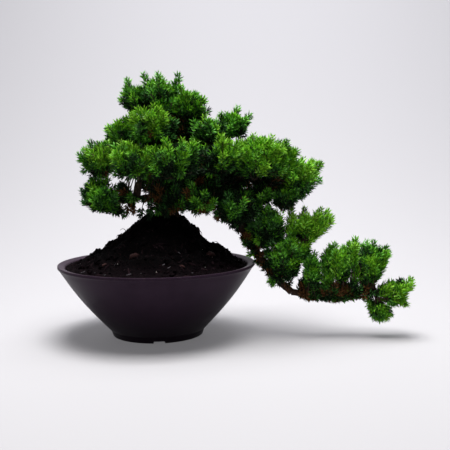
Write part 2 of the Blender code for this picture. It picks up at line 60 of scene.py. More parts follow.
FOOT_FLARE = 2.5 * MM
FOOT_HEIGHT = 7.5 * MM
FOOT_WALL = 6.0 * MM
FOOT_ROUND = 0.9 * MM
ARC_STEPS = 5
WALL_START_RADIUS = 57.0 * MM
WALL_BELLY = 3.6 * MM  # how far the wall bows out of a straight cone
WALL_THICKNESS = 3.5 * MM
WALL_BOTTOM = FOOT_HEIGHT + 1.0 * MM
WALL_TOP = POT_HEIGHT - LIP_BAND - 1.0 * MM
WALL_STEPS = 24
FLOOR_TOP = 9.5 * MM
FLOOR_UNDERSIDE = 4.5 * MM
PAD_RADIUS = 11.0 * MM
DRAIN_RADIUS = 4.5 * MM
DRAIN_CIRCLE = 27.0 * MM
DRAIN_COUNT = 4
DRAIN_SEGMENTS = 32
NOTCH_WIDTH = 13.0 * MM
NOTCH_HEIGHT = 2.5 * MM
NOTCH_X = 5.5 * MM


def steps(first, last, count):
    """Evenly spaced numbers, both ends included."""
    return [first + (last - first) * k / (count - 1) for k in range(count)]


def wall_radius(z):
    """The outer radius of the pot's bowed wall."""
    share = (z - WALL_BOTTOM) / (WALL_TOP - WALL_BOTTOM)
    cone = WALL_START_RADIUS + (RIM_RADIUS - LIP_OVERHANG - WALL_START_RADIUS) * share
    return cone + WALL_BELLY * math.sin(math.pi * share)


def inner_radius(z):
    """The radius of the pot's hollow."""
    share = max((z - WALL_BOTTOM) / (WALL_TOP - WALL_BOTTOM), 0)
    wall = wall_radius(min(z, WALL_TOP)) - WALL_THICKNESS * (1 + share**2)
    return min(wall, RIM_RADIUS - LIP_WIDTH)


def rounded(corners):
    """A profile of (radius, height, rounding) corners, with an arc in place of each rounded one."""
    profile = []
    for k, (r, z, rounding) in enumerate(corners):
        here = Vector((r, z))
        if not rounding:
            profile.append(here)
            continue
        before, after = Vector(corners[k - 1][:2]), Vector(corners[k + 1][:2])
        start = here + (before - here).normalized() * min(rounding, (before - here).length / 2)
        end = here + (after - here).normalized() * min(rounding, (after - here).length / 2)
        for t in steps(0, 1, ARC_STEPS):
            profile.append(start * (1 - t) ** 2 + here * 2 * t * (1 - t) + end * t**2)
    return profile


def turns_round(count):
    """Turns spaced evenly all round."""
    return [2 * math.pi * k / count for k in range(count)]


def level_way(turn):
    """The level direction at this turn."""
    return Vector((math.cos(turn), math.sin(turn), 0))


def in_scene(name, data):
    """A new object of this data, in the scene."""
    made = bpy.data.objects.new(name, data)
    bpy.context.scene.collection.objects.link(made)
    return made


def mesh_piece(name, vertices, faces):
    """A new object of one mesh, smooth, with its faces pointing outwards."""
    mesh = bpy.data.meshes.new(name)
    mesh.from_pydata([tuple(v) for v in vertices], [], faces)
    shell = bmesh.new()
    shell.from_mesh(mesh)
    bmesh.ops.recalc_face_normals(shell, faces=shell.faces)
    shell.to_mesh(mesh)
    shell.free()
    mesh.shade_smooth()
    return in_scene(name, mesh)


def skin(rings):
    """Vertices and faces of a closed skin over rings, where a ring of one point is a pole."""
    vertices, faces = list(rings[0]), []
    for first, second in zip(rings, rings[1:]):
        a, b = len(vertices) - len(first), len(vertices)
        vertices += second
        sides = max(len(first), len(second))
        for k in range(sides):
            n = (k + 1) % sides
            if len(first) == 1:
                faces.append((a, b + k, b + n))
            elif len(second) == 1:
                faces.append((a + k, a + n, b))
            else:
                faces.append((a + k, a + n, b + n, b + k))
    return vertices, faces


def circle(radius, z, segments=POT_SEGMENTS):
    """A ring round the pot's axis, or one point where the radius is nothing."""
    if radius < 1e-9:
        return [Vector((0, 0, z))]
    return [Vector((radius * math.cos(t), radius * math.sin(t), z)) for t in turns_round(segments)]


def plain_mesh(piece):
    """What a piece's modifiers make of it, as a plain mesh."""
    mesh = bpy.data.meshes.new_from_object(piece.evaluated_get(bpy.context.evaluated_depsgraph_get()))
    piece.modifiers.clear()
    return mesh


def cut(piece, vertices, faces):
    """Cut a shape out of a piece."""
    cutter = mesh_piece("cutter", vertices, faces)
    difference = piece.modifiers.new("cut", "BOOLEAN")
    difference.operation = "DIFFERENCE"
    difference.object = cutter
    piece.data = plain_mesh(piece)
    piece.data.name = piece.name
    bpy.data.objects.remove(cutter)


def connect(tree, value, socket):
    """Link an input to a value that is a socket, or set it to a plain number or colour."""
    if isinstance(value, bpy.types.NodeSocket):
        tree.links.new(value, socket)
    else:
        socket.default_value = (*value, 1) if socket.type == "RGBA" else value


def add(tree, kind, settings=None, **values):
    """A node of a shader or geometry tree, with its named inputs connected."""
    made = tree.nodes.new(kind)
    for key, value in (settings or {}).items():
        setattr(made, key, value)
    for key, value in values.items():
        name = key.replace("_", " ")
        connect(tree, value, next(s for s in made.inputs if s.name == name and s.enabled))
    return made


def combine(tree, operation, first, second):
    """The sum or the product of two values."""
    made = add(tree, "ShaderNodeMath", {"operation": operation})
    connect(tree, first, made.inputs[0])
    connect(tree, second, made.inputs[1])
    return made.outputs[0]


def share_of(tree, value, low, high, **ends):
    """How far a value is from low to high, as a number from 0 to 1 or between other ends."""
    return add(tree, "ShaderNodeMapRange", Value=value, From_Min=low, From_Max=high, **ends).outputs[0]


def new_material(name, roughness, specular=0.5):
    """A Principled material, with its tree, its shader and its Object coordinates."""
    made = bpy.data.materials.new(name)
    made.use_nodes = True
    shader = made.node_tree.nodes["Principled BSDF"]
    shader.inputs["Roughness"].default_value = roughness
    shader.inputs["Specular IOR Level"].default_value = specular
    return made, made.node_tree, shader, made.node_tree.nodes.new("ShaderNodeTexCoord").outputs["Object"]


def cloud(tree, place, scale, detail=3.0, roughness=0.5):
    """A noise pattern with this many features per metre."""
    return add(
        tree, "ShaderNodeTexNoise", Vector=place, Scale=scale, Detail=detail, Roughness=roughness
    ).outputs[0]  # fmt: skip


def height_of(tree, place):
    """The height of a place on a piece."""
    return add(tree, "ShaderNodeSeparateXYZ", Vector=place).outputs["Z"]


def ramp(tree, value, *stops):
    """A colour ramp through (position, colour) stops, where one number is a grey."""
    made = tree.nodes.new("ShaderNodeValToRGB")
    tree.links.new(value, made.inputs[0])
    while len(made.color_ramp.elements) < len(stops):
        made.color_ramp.elements.new(0.5)
    for element, (position, colour) in zip(made.color_ramp.elements, stops):
        element.position = position
        element.color = (*colour, 1) if isinstance(colour, tuple) else (colour, colour, colour, 1)
    return made.outputs[0]


def blend(tree, share, first, second, way="MIX"):
    """A mix of two colours."""
    made = add(tree, "ShaderNodeMix", {"data_type": "RGBA", "blend_type": way})
    for value, number in ((share, 0), (first, 6), (second, 7)):
        connect(tree, value, made.inputs[number])
    return made.outputs[2]


def shaded(colour, share):
    """A colour at a share of its brightness."""
    return tuple(c * share for c in colour)


def paint(tree, shader, colour):
    """Give a shader its colour."""
    connect(tree, colour, shader.inputs["Base Color"])


def bump(tree, shader, height, distance, strength):
    """Relief on a shader's surface, with its depth in metres."""
    made = add(tree, "ShaderNodeBump", Height=height, Distance=distance, Strength=strength)
    tree.links.new(made.outputs[0], shader.inputs["Normal"])


foot_inner = FOOT_RADIUS - FOOT_WALL
pot_corners = [
    (0, 0, 0),
    (PAD_RADIUS, 0, FOOT_ROUND),
    (PAD_RADIUS + 1.0 * MM, FLOOR_UNDERSIDE, FOOT_ROUND),
    (foot_inner - 1.0 * MM, FLOOR_UNDERSIDE, FOOT_ROUND),
    (foot_inner, 0, FOOT_ROUND),
    (FOOT_RADIUS, 0, FOOT_ROUND),
    (FOOT_RADIUS + FOOT_FLARE, FOOT_HEIGHT, FOOT_ROUND),
]
pot_corners += [(wall_radius(z), z, 0) for z in steps(WALL_BOTTOM, WALL_TOP, WALL_STEPS)]
pot_corners += [
    (RIM_RADIUS - LIP_OVERHANG * 0.4, POT_HEIGHT - LIP_BAND, 0.5 * MM),
    (RIM_RADIUS, POT_HEIGHT - LIP_BAND + 0.6 * MM, 0.5 * MM),
    (RIM_RADIUS, POT_HEIGHT, LIP_ROUND),
    (RIM_RADIUS - LIP_WIDTH, POT_HEIGHT - LIP_DROP, LIP_ROUND),
]
pot_corners += [(inner_radius(z), z, 0) for z in steps(POT_HEIGHT - 3 * LIP_DROP, FLOOR_TOP, WALL_STEPS)]
pot_corners.append((0, FLOOR_TOP, 0))
pot = mesh_piece("pot_moulded", *skin([circle(*corner) for corner in rounded(pot_corners)]))
for turn in turns_round(DRAIN_COUNT):
    at = level_way(math.pi / DRAIN_COUNT + turn) * DRAIN_CIRCLE
    ends = (0, FLOOR_UNDERSIDE / 2, FLOOR_TOP * 2, FLOOR_TOP * 2)
    radii = (0, DRAIN_RADIUS, DRAIN_RADIUS, 0)
    cut(pot, *skin([[at + p for p in circle(r, z, DRAIN_SEGMENTS)] for r, z in zip(radii, ends)]))
near, far = -FOOT_RADIUS - 3 * FOOT_FLARE, FOOT_WALL - FOOT_RADIUS + 2 * MM
notch_plan = [(near, -1), (far, -1), (far, 1), (near, 1)]
notch_rings = [[Vector((NOTCH_X, (near + far) / 2, -NOTCH_HEIGHT))]]
notch_rings += [
    [Vector((NOTCH_X + side * NOTCH_WIDTH / 2 * narrow, y, z)) for y, side in notch_plan]
    for z, narrow in ((-NOTCH_HEIGHT, 1), (NOTCH_HEIGHT * 0.6, 1), (NOTCH_HEIGHT, 0.86))
]
notch_rings.append([Vector((NOTCH_X, (near + far) / 2, NOTCH_HEIGHT))])
cut(pot, *skin(notch_rings))
pot.data.set_sharp_from_angle(angle=math.radians(35))

POT_BROWN = (0.0195, 0.0098, 0.0200)
POT_WORN = (0.0300, 0.0170, 0.0300)
FOOT_SHADE = 0.35  # how dark the painted shade makes the wall at the foot, as a share of its colour at the lip
POT_DUST = (0.040, 0.027, 0.033)
DUST_REACH = 7 * MM
FOOT_SHADE_GAP = 15 * MM  # how far under the lip the painted shade of the wall ends
plastic, tree, shader, place = new_material("pot_plastic", 0.45, 0.07)
height = height_of(tree, place)
mottle = cloud(tree, place, 34, detail=5, roughness=0.6)
body = ramp(tree, mottle, (0.32, POT_BROWN), (0.78, POT_WORN))
# The wall darkens towards its foot: painted shade.
low_share = share_of(tree, height, FOOT_HEIGHT, POT_HEIGHT - FOOT_SHADE_GAP)
painted_foot_shade = blend(tree, low_share, shaded(POT_BROWN, FOOT_SHADE), body)
specks = ramp(tree, cloud(tree, place, 420, detail=4, roughness=0.7), (0.52, 0.0), (0.66, 1.0))
dusty = combine(tree, "MULTIPLY", share_of(tree, height, POT_HEIGHT - DUST_REACH, POT_HEIGHT), specks)
paint(tree, shader, blend(tree, dusty, painted_foot_shade, POT_DUST))
tree.links.new(ramp(tree, mottle, (0.25, 0.36), (0.8, 0.52)), shader.inputs["Roughness"])
bump(tree, shader, cloud(tree, place, 1500, detail=2), 0.00006, 0.5)
pot.data.materials.append(plastic)
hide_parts("pot")
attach(pot, "root")

# Soil
# Potting mix of dark peat and shredded bark: it fills the pot to below the lip and is heaped up
# in a steep mound to the trunk's foot, with crumbs and lumps that have rolled down its sides.
SOIL_EDGE = POT_HEIGHT - LIP_DROP - 1.5 * MM
SOIL_GAP = 0.6 * MM
MOUND_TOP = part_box("trunk")[0].z - 0.3 * MM
MOUND_MIDDLE = Vector((9, 0)) * MM
MOUND_FLAT_RADIUS = 24 * MM
MOUND_HOLLOW = 1.35  # above 1, the slope is steeper at the top than at the edge
# Lumps and hollows of the mound: each one's place across and deep, its height, and how far it
# reaches across and deep, in mm
LUMPS = (
    (-71, 2, 5.5, 3.5, 5), (-63, 2, -4, 3, 25), (38, 4, -5, 7, 30), (60, 5, -8, 9, 40), (75, 0, 8, 8, 12),
)
SWELL_HEIGHT = 4 * MM
SWELL_SIZE = 17 * MM
CLOD_HEIGHT = 2.8 * MM
CLOD_SIZE = 8 * MM
CRUMB_HEIGHT = 0.55 * MM
CRUMB_SIZE = 1.9 * MM
SOIL_RINGS = 84
SOIL_SEGMENTS = 216
soil_radius = inner_radius(SOIL_EDGE) - SOIL_GAP


def edge_distance(way):
    """How far the pot's wall is from the mound's middle in this direction."""
    along = MOUND_MIDDLE.dot(way)
    return math.sqrt(along**2 - MOUND_MIDDLE.length_squared + soil_radius**2) - along


def soil_height(point):
    """The mound's height at a point: flat at the trunk, then a lumpy slope to the pot's edge."""
    off = point - MOUND_MIDDLE
    reach = edge_distance(off.normalized()) if off.length > 1e-9 else soil_radius
    slope = min(max((off.length - MOUND_FLAT_RADIUS) / (reach - MOUND_FLAT_RADIUS), 0), 1)
    window = math.sin(math.pi * slope)
    height = SOIL_EDGE + (MOUND_TOP - SOIL_EDGE) * (1 - slope) ** MOUND_HOLLOW
    height += window * noise.noise(Vector((*point, 0)) / SWELL_SIZE) * SWELL_HEIGHT * 2
    for x, y, tall, wide, deep in LUMPS:
        away = ((point.x / MM - x) / wide) ** 2 + ((point.y / MM - y) / deep) ** 2
        height += min(window * 2, 1) * tall * MM * math.exp(-away)
    return height


def rough_height(point):
    """The mound's height with its clods and crumbs."""
    spot = Vector((*point, 0))
    clods = 1 - 2 * abs(noise.noise(spot / CLOD_SIZE + UP * 3))
    crumbs = noise.fractal(spot / CRUMB_SIZE, 0.8, 2.2, 3)
    return soil_height(point) + (clods - 0.6) * CLOD_HEIGHT + crumbs * CRUMB_HEIGHT


top_rings = [[Vector((*MOUND_MIDDLE, rough_height(MOUND_MIDDLE)))]]
for k in range(1, SOIL_RINGS + 1):
    ring = []
    for turn in turns_round(SOIL_SEGMENTS):
        way = level_way(turn).xy
        spot = MOUND_MIDDLE + way * edge_distance(way) * k / SOIL_RINGS
        ring.append(Vector((*spot, rough_height(spot))))
    top_rings.append(ring)
edge = top_rings[-1]
body_rings = [
    [Vector((*(p.xy * inner_radius(z) / (soil_radius + SOIL_GAP)), z)) for p in edge]
    for z in steps(SOIL_EDGE - 4 * MM, FLOOR_TOP + SOIL_GAP, 8)
]
underside = [Vector((0, 0, FLOOR_TOP + SOIL_GAP))]
soil = mesh_piece("soil_mound", *skin([*top_rings, *body_rings, underside]))

PEAT_BLACK = (0.0003, 0.0002, 0.0004)
PEAT_BROWN = (0.0042, 0.0015, 0.0028)
PEAT_RED = (0.018, 0.008, 0.009)
HIGH_SHADE = 0.12  # how dark the earth is up the mound, as a share of its colour at the lip
HIGH_FROM = 16 * MM  # how far above the mound's edge it gets that dark


def peat_material(name, dark, light, fleck, specular=0.04):
    """Crumbly matte earth, darker up the mound: two colours with rare flecks of a third."""
    made, tree, shader, place = new_material(name, 0.95, specular)
    rise = share_of(tree, height_of(tree, place), SOIL_EDGE, SOIL_EDGE + HIGH_FROM)
    pale = blend(tree, rise, light, shaded(light, HIGH_SHADE))
    patches = ramp(tree, cloud(tree, place, 520, detail=6, roughness=0.7), (0.36, 0.0), (0.68, 1.0))
    flecks = ramp(tree, cloud(tree, place, 900, detail=2), (0.66, 0.0), (0.70, 1.0))
    paint(tree, shader, blend(tree, flecks, blend(tree, patches, dark, pale), fleck))
    bump(tree, shader, cloud(tree, place, 1300, detail=5, roughness=0.75), 0.0006, 0.9)
    return made


soil.data.materials.append(peat_material("peat", PEAT_BLACK, PEAT_BROWN, PEAT_RED))
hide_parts("soil")
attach(soil, "root")

# Crumbs and chips on the mound
# Loose crumbs of peat, shreds of brown bark and a few grains of pale grit, which lie on the
# mound as they fell. Each kind is scattered over the mound's top and joined to one piece.
SCATTER_MARGIN = 3.5 * MM
LYING_FLAT = ((-0.3, -0.3, 0), (0.3, 0.3, 2 * math.pi))  # how a chunk may lean and turn on the slope
# Each kind: how many lie on a square metre, how far apart, its least and largest size, its seed
PEAT_CRUMBS = (52000.0, 1.1 * MM, 0.45 * MM, 1.5 * MM, 3)
PEAT_CLODS = (4600.0, 3.0 * MM, 1.4 * MM, 4.2 * MM, 5)
BARK_SHREDS = (7200.0, 2.0 * MM, 0.7 * MM, 2.3 * MM, 8)
PALE_GRIT = (620.0, 5.0 * MM, 0.35 * MM, 0.75 * MM, 13)


def stretched(place, sizes):
    """A place with each of its coordinates stretched by its own size."""
    return Vector([c * size for c, size in zip(place, sizes)])


def chunk(name, seed, stretch, subdivisions=1, raggedness=0.34):
    """A ragged lump about one unit in radius, whose copies are scaled down to their true size."""
    ball = bmesh.new()
    bmesh.ops.create_icosphere(ball, subdivisions=subdivisions, radius=1)
    corners = [corner.co.copy() for corner in ball.verts]
    faces = [tuple(v.index for v in face.verts) for face in ball.faces]
    ball.free()
    rough = [p * (1 + raggedness * noise.noise(p * 1.7 + Vector((seed, 0, 0)))) for p in corners]
    piece = mesh_piece(name, [stretched(p, stretch) for p in rough], faces)
    piece.data.shade_flat()
    return piece


def new_growth(name, **kinds):
    """A geometry tree with inputs of these names and kinds, and those inputs' sockets."""
    made = bpy.data.node_groups.new(name, "GeometryNodeTree")
    for key, kind in kinds.items():
        made.interface.new_socket(key.replace("_", " "), in_out="INPUT", socket_type="NodeSocket" + kind)
    made.interface.new_socket("Mesh", in_out="OUTPUT", socket_type="NodeSocketGeometry")
    return made, made.nodes.new("NodeGroupInput").outputs


def random_value(tree, low, high, seed):
    """A random number or vector for each point or copy."""
    kind = "FLOAT_VECTOR" if isinstance(low, tuple) else "FLOAT"
    made = add(tree, "FunctionNodeRandomValue", {"data_type": kind}, Min=low, Max=high, Seed=seed)
    return next(s for s in made.outputs if s.enabled)


def copies_on(tree, points, shape, rotation, turn, size):
    """Copies of an object on points, each turned on about its own axes."""
    kind, local = "FunctionNodeRotateRotation", {"rotation_space": "LOCAL"}
    turned = add(tree, kind, local, Rotation=rotation, Rotate_By=turn.outputs[0])
    copied = add(tree, "GeometryNodeObjectInfo", Object=shape)
    return add(
        tree, "GeometryNodeInstanceOnPoints", Points=points, Instance=copied.outputs["Geometry"],
        Rotation=turned.outputs[0], Scale=size,
    ).outputs[0]  # fmt: skip


def make_real(tree, copies, material):
    """End a geometry tree: its copies become plain mesh in one material."""
    real = add(tree, "GeometryNodeRealizeInstances", Geometry=copies)
    dressed = add(tree, "GeometryNodeSetMaterial", Geometry=real.outputs[0], Material=material)
    tree.links.new(dressed.outputs[0], tree.nodes.new("NodeGroupOutput").inputs[0])
    return tree


def scatter_tree():
    """Chunks scattered over a surface, turned at random, as one joined mesh."""
    made, given = new_growth(
        "scatter_chunks", Surface="Geometry", Chunk="Object", Material="Material",
        Per_Square_Metre="Float", Apart="Float", Smallest="Float", Largest="Float", Seed="Int",
    )  # fmt: skip
    points = add(
        made, "GeometryNodeDistributePointsOnFaces", {"distribute_method": "POISSON"},
        Mesh=given["Surface"], Distance_Min=given["Apart"], Density_Max=given["Per Square Metre"],
        Seed=given["Seed"],
    ).outputs  # fmt: skip
    tumble = add(made, "FunctionNodeEulerToRotation", Euler=random_value(made, *LYING_FLAT, given["Seed"]))
    size = random_value(made, given["Smallest"], given["Largest"], given["Seed"])
    copies = copies_on(made, points["Points"], given["Chunk"], points["Rotation"], tumble, size)
    return make_real(made, copies, given["Material"])


def grown_mesh(source, tree, *values):
    """The plain mesh that a geometry tree makes of an object, with its other inputs in order."""
    modifier = source.modifiers.new(tree.name, "NODES")
    modifier.node_group = tree
    inputs = [item for item in tree.interface.items_tree if item.in_out == "INPUT"]
    for item, value in zip(inputs[1:], values):
        modifier[item.identifier] = value
    return plain_mesh(source)


def mottled_material(name, roughness, features, dark, light, grain, detail=3, light_from=0.7):
    """Two colours that run into each other, with a fine grain."""
    made, tree, shader, place = new_material(name, roughness)
    paint(tree, shader, ramp(tree, cloud(tree, place, features, detail), (0.3, dark), (light_from, light)))
    bump(tree, shader, cloud(tree, place, grain), 0.0003, 0.8)
    return made


peat_crumb = peat_material("peat_crumb", (0.0005, 0.0003, 0.0006), (0.0065, 0.0026, 0.0045), PEAT_RED)
shred_browns = (0.006, 0.003, 0.004), (0.026, 0.013, 0.017), (0.060, 0.042, 0.050)
bark_shred = peat_material("bark_shred", *shred_browns)
grit = mottled_material("pale_grit", 0.8, 1500, (0.22, 0.20, 0.18), (0.46, 0.43, 0.39), 2600)
loose = scatter_tree()
bed_radius = soil_radius - MOUND_MIDDLE.x - SCATTER_MARGIN
bed_rings = [ring for ring in top_rings if (ring[0].xy - MOUND_MIDDLE).length < bed_radius]
for name, sizes, shape, material in (
    ("peat_crumbs", PEAT_CRUMBS, chunk("crumb_shape", 1, (1, 0.8, 0.62)), peat_crumb),
    ("peat_clods", PEAT_CLODS, chunk("clod_shape", 4, (1, 0.85, 0.7), 2, 0.6), peat_crumb),
    ("bark_shreds", BARK_SHREDS, chunk("shred_shape", 7, (2.6, 0.7, 0.4)), bark_shred),
    ("pale_grit", PALE_GRIT, chunk("grit_shape", 9, (1.2, 1, 0.8)), grit),
):
    piece = mesh_piece(name, *skin(bed_rings))
    piece.data = grown_mesh(piece, loose, shape, material, *sizes)
    bpy.data.objects.remove(shape)
    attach(piece, "root")

# Trunk and boughs
# Living juniper wood under thin bark that peels in long fibrous strips. The trunk stands on the
# mound with its root ridges, each bough grows out of its carrier, and all taper to their tips.
BOUGH_SIDES = 22
TRUNK_SIDES = 48
BARK_STEP = 1.3 * MM
TRUNK_RADII = (10.0, 2.6)
TRUNK_FLARE = 0.34
TRUNK_FLARE_HEIGHT = 20 * MM
ROOT_RIDGES = 5
ROOT_DEPTH = 3 * MM
COLLAR = 0.55  # how much a bough swells where it leaves its carrier
COLLAR_LENGTH = 5 * MM
STRIP_WIDTH = 2.4 * MM
STRIP_LENGTH = 15 * MM
STRIP_DEPTH = 0.13  # as a share of the limb's radius
STRIP_EDGE = 3.2  # how deep the cracks between strips and between shreds are, as shares of that
SHRED_EDGE = 1.2
SHRED_FINENESS = 2.6  # how many shreds lie across a strip
KNOT_SIZE = 11 * MM
KNOT_HEIGHT = 0.16

TRUNK_POINTS = [(16, 0, 138), (13, 1, 162), (17, 3, 192), (12, 4, 224), (14, 1, 256)]
# Each bough: the limb that carries it, how far along that limb it starts, the points that it
# passes, and its radius at the foot and at the tip, in mm
BOUGHS = {
    "bough_left": ("trunk", 0.44, [(-14, -3, 198), (-36, -1, 204), (-49, 0, 206)], (4.2, 2.0)),
    "bough_low_left": ("trunk", 0.20, [(-6, -4, 163), (-28, -7, 158), (-39, -9, 156)], (3.2, 1.8)),
    "bough_front": ("trunk", 0.38, [(17, -20, 190), (13, -31, 194)], (3.4, 2.2)),
    "bough_right": ("trunk", 0.52, [(42, -8, 203), (74, -15, 202), (97, -19, 201)], (4.0, 2.0)),
    "bough_upper_right": ("trunk", 0.70, [(38, 2, 229), (58, 1, 237), (68, 0, 240)], (2.9, 1.7)),
    "bough_back": ("trunk", 0.62, [(21, 15, 216), (24, 24, 220)], (3.2, 2.1)),
    "bough_back_left": ("trunk", 0.48, [(4, 15, 199), (-11, 26, 202)], (3.2, 1.9)),
    "bough_back_right": ("trunk", 0.40, [(40, 17, 190), (70, 28, 193), (92, 34, 195)], (3.8, 1.9)),
    "cascade_limb": (
        "trunk",
        0.26,
        [(40, -5, 175), (65, -7, 173), (86, -7, 155), (101, -8, 125), (116, -10, 98),
         (138, -14, 68), (157, -18, 51)],
        (6.0, 4.0),
    ),
    "cascade_far": (
        "cascade_limb", 1.0, [(180, -20, 48.5), (210, -23, 47), (236, -25, 49.5), (252, -27, 53)],
        (4.0, 1.8),
    ),
    "bough_far_right": ("cascade_limb", 0.22, [(84, 3, 181), (112, 5, 180), (139, 0, 180)], (3.4, 1.9)),
    "side_limb": ("cascade_limb", 0.61, [(127, 4, 108), (150, 7, 107), (166, -4, 110)], (2.4, 1.6)),
}  # fmt: skip


def smooth_path(points, step):
    """Points along a Catmull-Rom curve, about a step apart."""
    ends = [points[0] * 2 - points[1], *points, points[-1] * 2 - points[-2]]
    path = []
    for a, b, c, d in zip(ends, ends[1:], ends[2:], ends[3:]):
        count = max(1, round((c - b).length / step))
        for k in range(count):
            t = k / count
            bend = 2 * b + (c - a) * t + (2 * a - 5 * b + 4 * c - d) * t**2
            path.append((bend + (3 * b - a - 3 * c + d) * t**3) / 2)
    return [*path, points[-1]]


def across(direction):
    """Two directions square to this one and to each other."""
    side = direction.cross(UP if abs(direction.z) < 0.9 else Vector((1, 0, 0))).normalized()
    return side, direction.cross(side).normalized()


def tube_rings(path, radii, sides, relief=None):
    """Rings along a path, carried on without twisting, with a pole at each end."""
    along = [(b - a).normalized() for a, b in zip(path, path[1:])]
    along.append(along[-1])
    side = across(along[0])[0]
    rings, travelled = [[path[0] - along[0] * radii[0] * 0.3]], 0
    for k, (place, direction, radius) in enumerate(zip(path, along, radii)):
        travelled += (place - path[k - 1]).length if k else 0
        side = (side - direction * side.dot(direction)).normalized()
        other = direction.cross(side)
        ring = []
        for turn in turns_round(sides):
            swell = 1 + relief(turn, travelled, radius) if relief else 1
            ring.append(place + (side * math.cos(turn) + other * math.sin(turn)) * radius * swell)
        rings.append(ring)
    rings.append([path[-1] + along[-1] * radii[-1] * 0.5])
    return rings


def length_of(path):
    """The length of a path."""
    return sum((b - a).length for a, b in zip(path, path[1:]))


def point_along(path, share):
    """The point at a share of a path's length, from 0 to 1."""
    left = share * length_of(path)
    for a, b in zip(path, path[1:]):
        length = (b - a).length
        if left <= length:
            return a.lerp(b, left / length)
        left -= length
    return path[-1]


def bark_relief(offset):
    """The relief of peeling strips and knots at a turn round a limb and a length along it."""

    def relief(turn, travelled, radius):
        round_it = level_way(turn) * radius
        strips = noise.noise(round_it / STRIP_WIDTH + UP * (travelled / STRIP_LENGTH + offset))
        finer = round_it / STRIP_WIDTH * SHRED_FINENESS
        shreds = noise.noise(finer + UP * (travelled / STRIP_LENGTH * 3 + offset))
        knots = noise.noise(round_it / KNOT_SIZE + UP * (travelled / KNOT_SIZE + offset))
        cracked = 1 - STRIP_EDGE * abs(strips) - SHRED_EDGE * abs(shreds)
        return cracked * STRIP_DEPTH + knots * KNOT_HEIGHT

    return relief


def trunk_relief(turn, travelled, radius):
    """The trunk's bark, and the root ridges at its foot."""
    low = max(0, 1 - max(travelled - ROOT_DEPTH, 0) / TRUNK_FLARE_HEIGHT)
    ridges = (1 + math.cos(ROOT_RIDGES * turn + 4 * low)) / 2
    return bark_relief(0)(turn, travelled, radius) + TRUNK_FLARE * low**1.5 * (0.35 + ridges)


def joined(name, solids, material):
    """One piece of many closed skins."""
    vertices, faces = [], []
    for corners, sides in solids:
        start = len(vertices)
        vertices += corners
        faces += [tuple(start + n for n in side) for side in sides]
    piece = mesh_piece(name, vertices, faces)
    piece.data.materials.append(material)
    return piece


BARK_DARK = (0.014, 0.008, 0.006)
BARK_BROWN = (0.046, 0.026, 0.018)
BARK_PALE = (0.125, 0.084, 0.060)
bark, tree, shader, place = new_material("juniper_bark", 0.9, 0.25)
worn = cloud(tree, place, 260, detail=6, roughness=0.68)
stain = ramp(tree, cloud(tree, place, 60), (0.35, (0.55, 0.50, 0.48)), (0.75, (1.1, 1.0, 0.95)))
tone = ramp(tree, worn, (0.30, BARK_DARK), (0.52, BARK_BROWN), (0.80, BARK_PALE))
paint(tree, shader, blend(tree, 1.0, tone, stain, "MULTIPLY"))
bump(tree, shader, worn, 0.0008, 0.8)

trunk_path = [Vector(p) * MM for p in TRUNK_POINTS]
trunk_path[0].z = MOUND_TOP - ROOT_DEPTH
limbs = {"trunk": smooth_path(trunk_path, BARK_STEP)}
limb_radii = {"trunk": [r * MM for r in steps(*TRUNK_RADII, len(limbs["trunk"]))]}
trunk_rings = tube_rings(limbs["trunk"], limb_radii["trunk"], TRUNK_SIDES, trunk_relief)
trunk = joined("trunk_bark", [skin(trunk_rings)], bark)
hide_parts("trunk")
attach(trunk, "root")

bough_solids = []
for number, (name, (carrier, share, points, radii)) in enumerate(BOUGHS.items()):
    path = [point_along(limbs[carrier], share), *(Vector(p) * MM for p in points)]
    path = smooth_path(path, BARK_STEP)
    widths = [r * MM for r in steps(*radii, len(path))]
    limbs[name], limb_radii[name] = path, widths
    collar = COLLAR if share < 1 else 0
    swollen = [w * (1 + collar * math.exp(-k * BARK_STEP / COLLAR_LENGTH)) for k, w in enumerate(widths)]
    bough_solids.append(skin(tube_rings(path, swollen, BOUGH_SIDES, bark_relief(11 * number))))
boughs = joined("bough_bark", bough_solids, bark)
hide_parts(*BOUGHS)
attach(boughs, "root")

# Chips and root hairs
# A few chips of red bark and some pale shreds lie on the mound as they fell, and dry wiry roots
# stand out of its flanks in loose curls.
HAIR_RADIUS = 0.33 * MM
HAIR_STEPS = 12
# Each chip: its place across and deep, its half length and half width, in mm, and its turn in degrees
RED_CHIPS = (
    (-20, -62, 6.2, 4.2, -12), (64, -36, 5.0, 3.8, 20), (-52, -66, 3.0, 1.6, 30), (34, -78, 3.2, 1.4, -10),
)
PALE_SHREDS = (
    (-39, -70, 1.5, 0.7, 20), (-76, -64, 2.6, 0.5, 8), (14, -82, 2.6, 0.5, 40), (-22, -92, 3.0, 0.5, 5),
    (8, -49, 2.4, 0.35, 85), (20, -84, 2.2, 0.4, 30), (-8, -90, 2.4, 0.4, -8), (46, -84, 2.0, 0.4, 15),
    (-60, -74, 1.8, 0.4, -20), (72, -66, 2.2, 0.5, 10), (-48, -86, 1.6, 0.4, 12), (30, -60, 1.8, 0.35, -30),
)
# Each hair: its foot across and deep and its length in mm, its lean sideways and its curl in turns
ROOT_HAIRS = (
    (-44, 2, 15, -0.5, 0.55), (-40, -2, 12, 0.2, -0.6), (-37, 4, 10, 0.6, -0.5), (-50, 0, 8, -0.3, 0.4),
    (50, 4, 13, 0.9, -0.45), (46, 0, 15, 1.2, 0.5), (54, 6, 10, 0.6, 0.7), (47, 8, 11, 0.8, -0.8),
    (66, 4, 12, 0.4, 0.5), (72, 2, 11, 0.9, -0.6), (70, 6, 9, 0.1, -0.5),
)


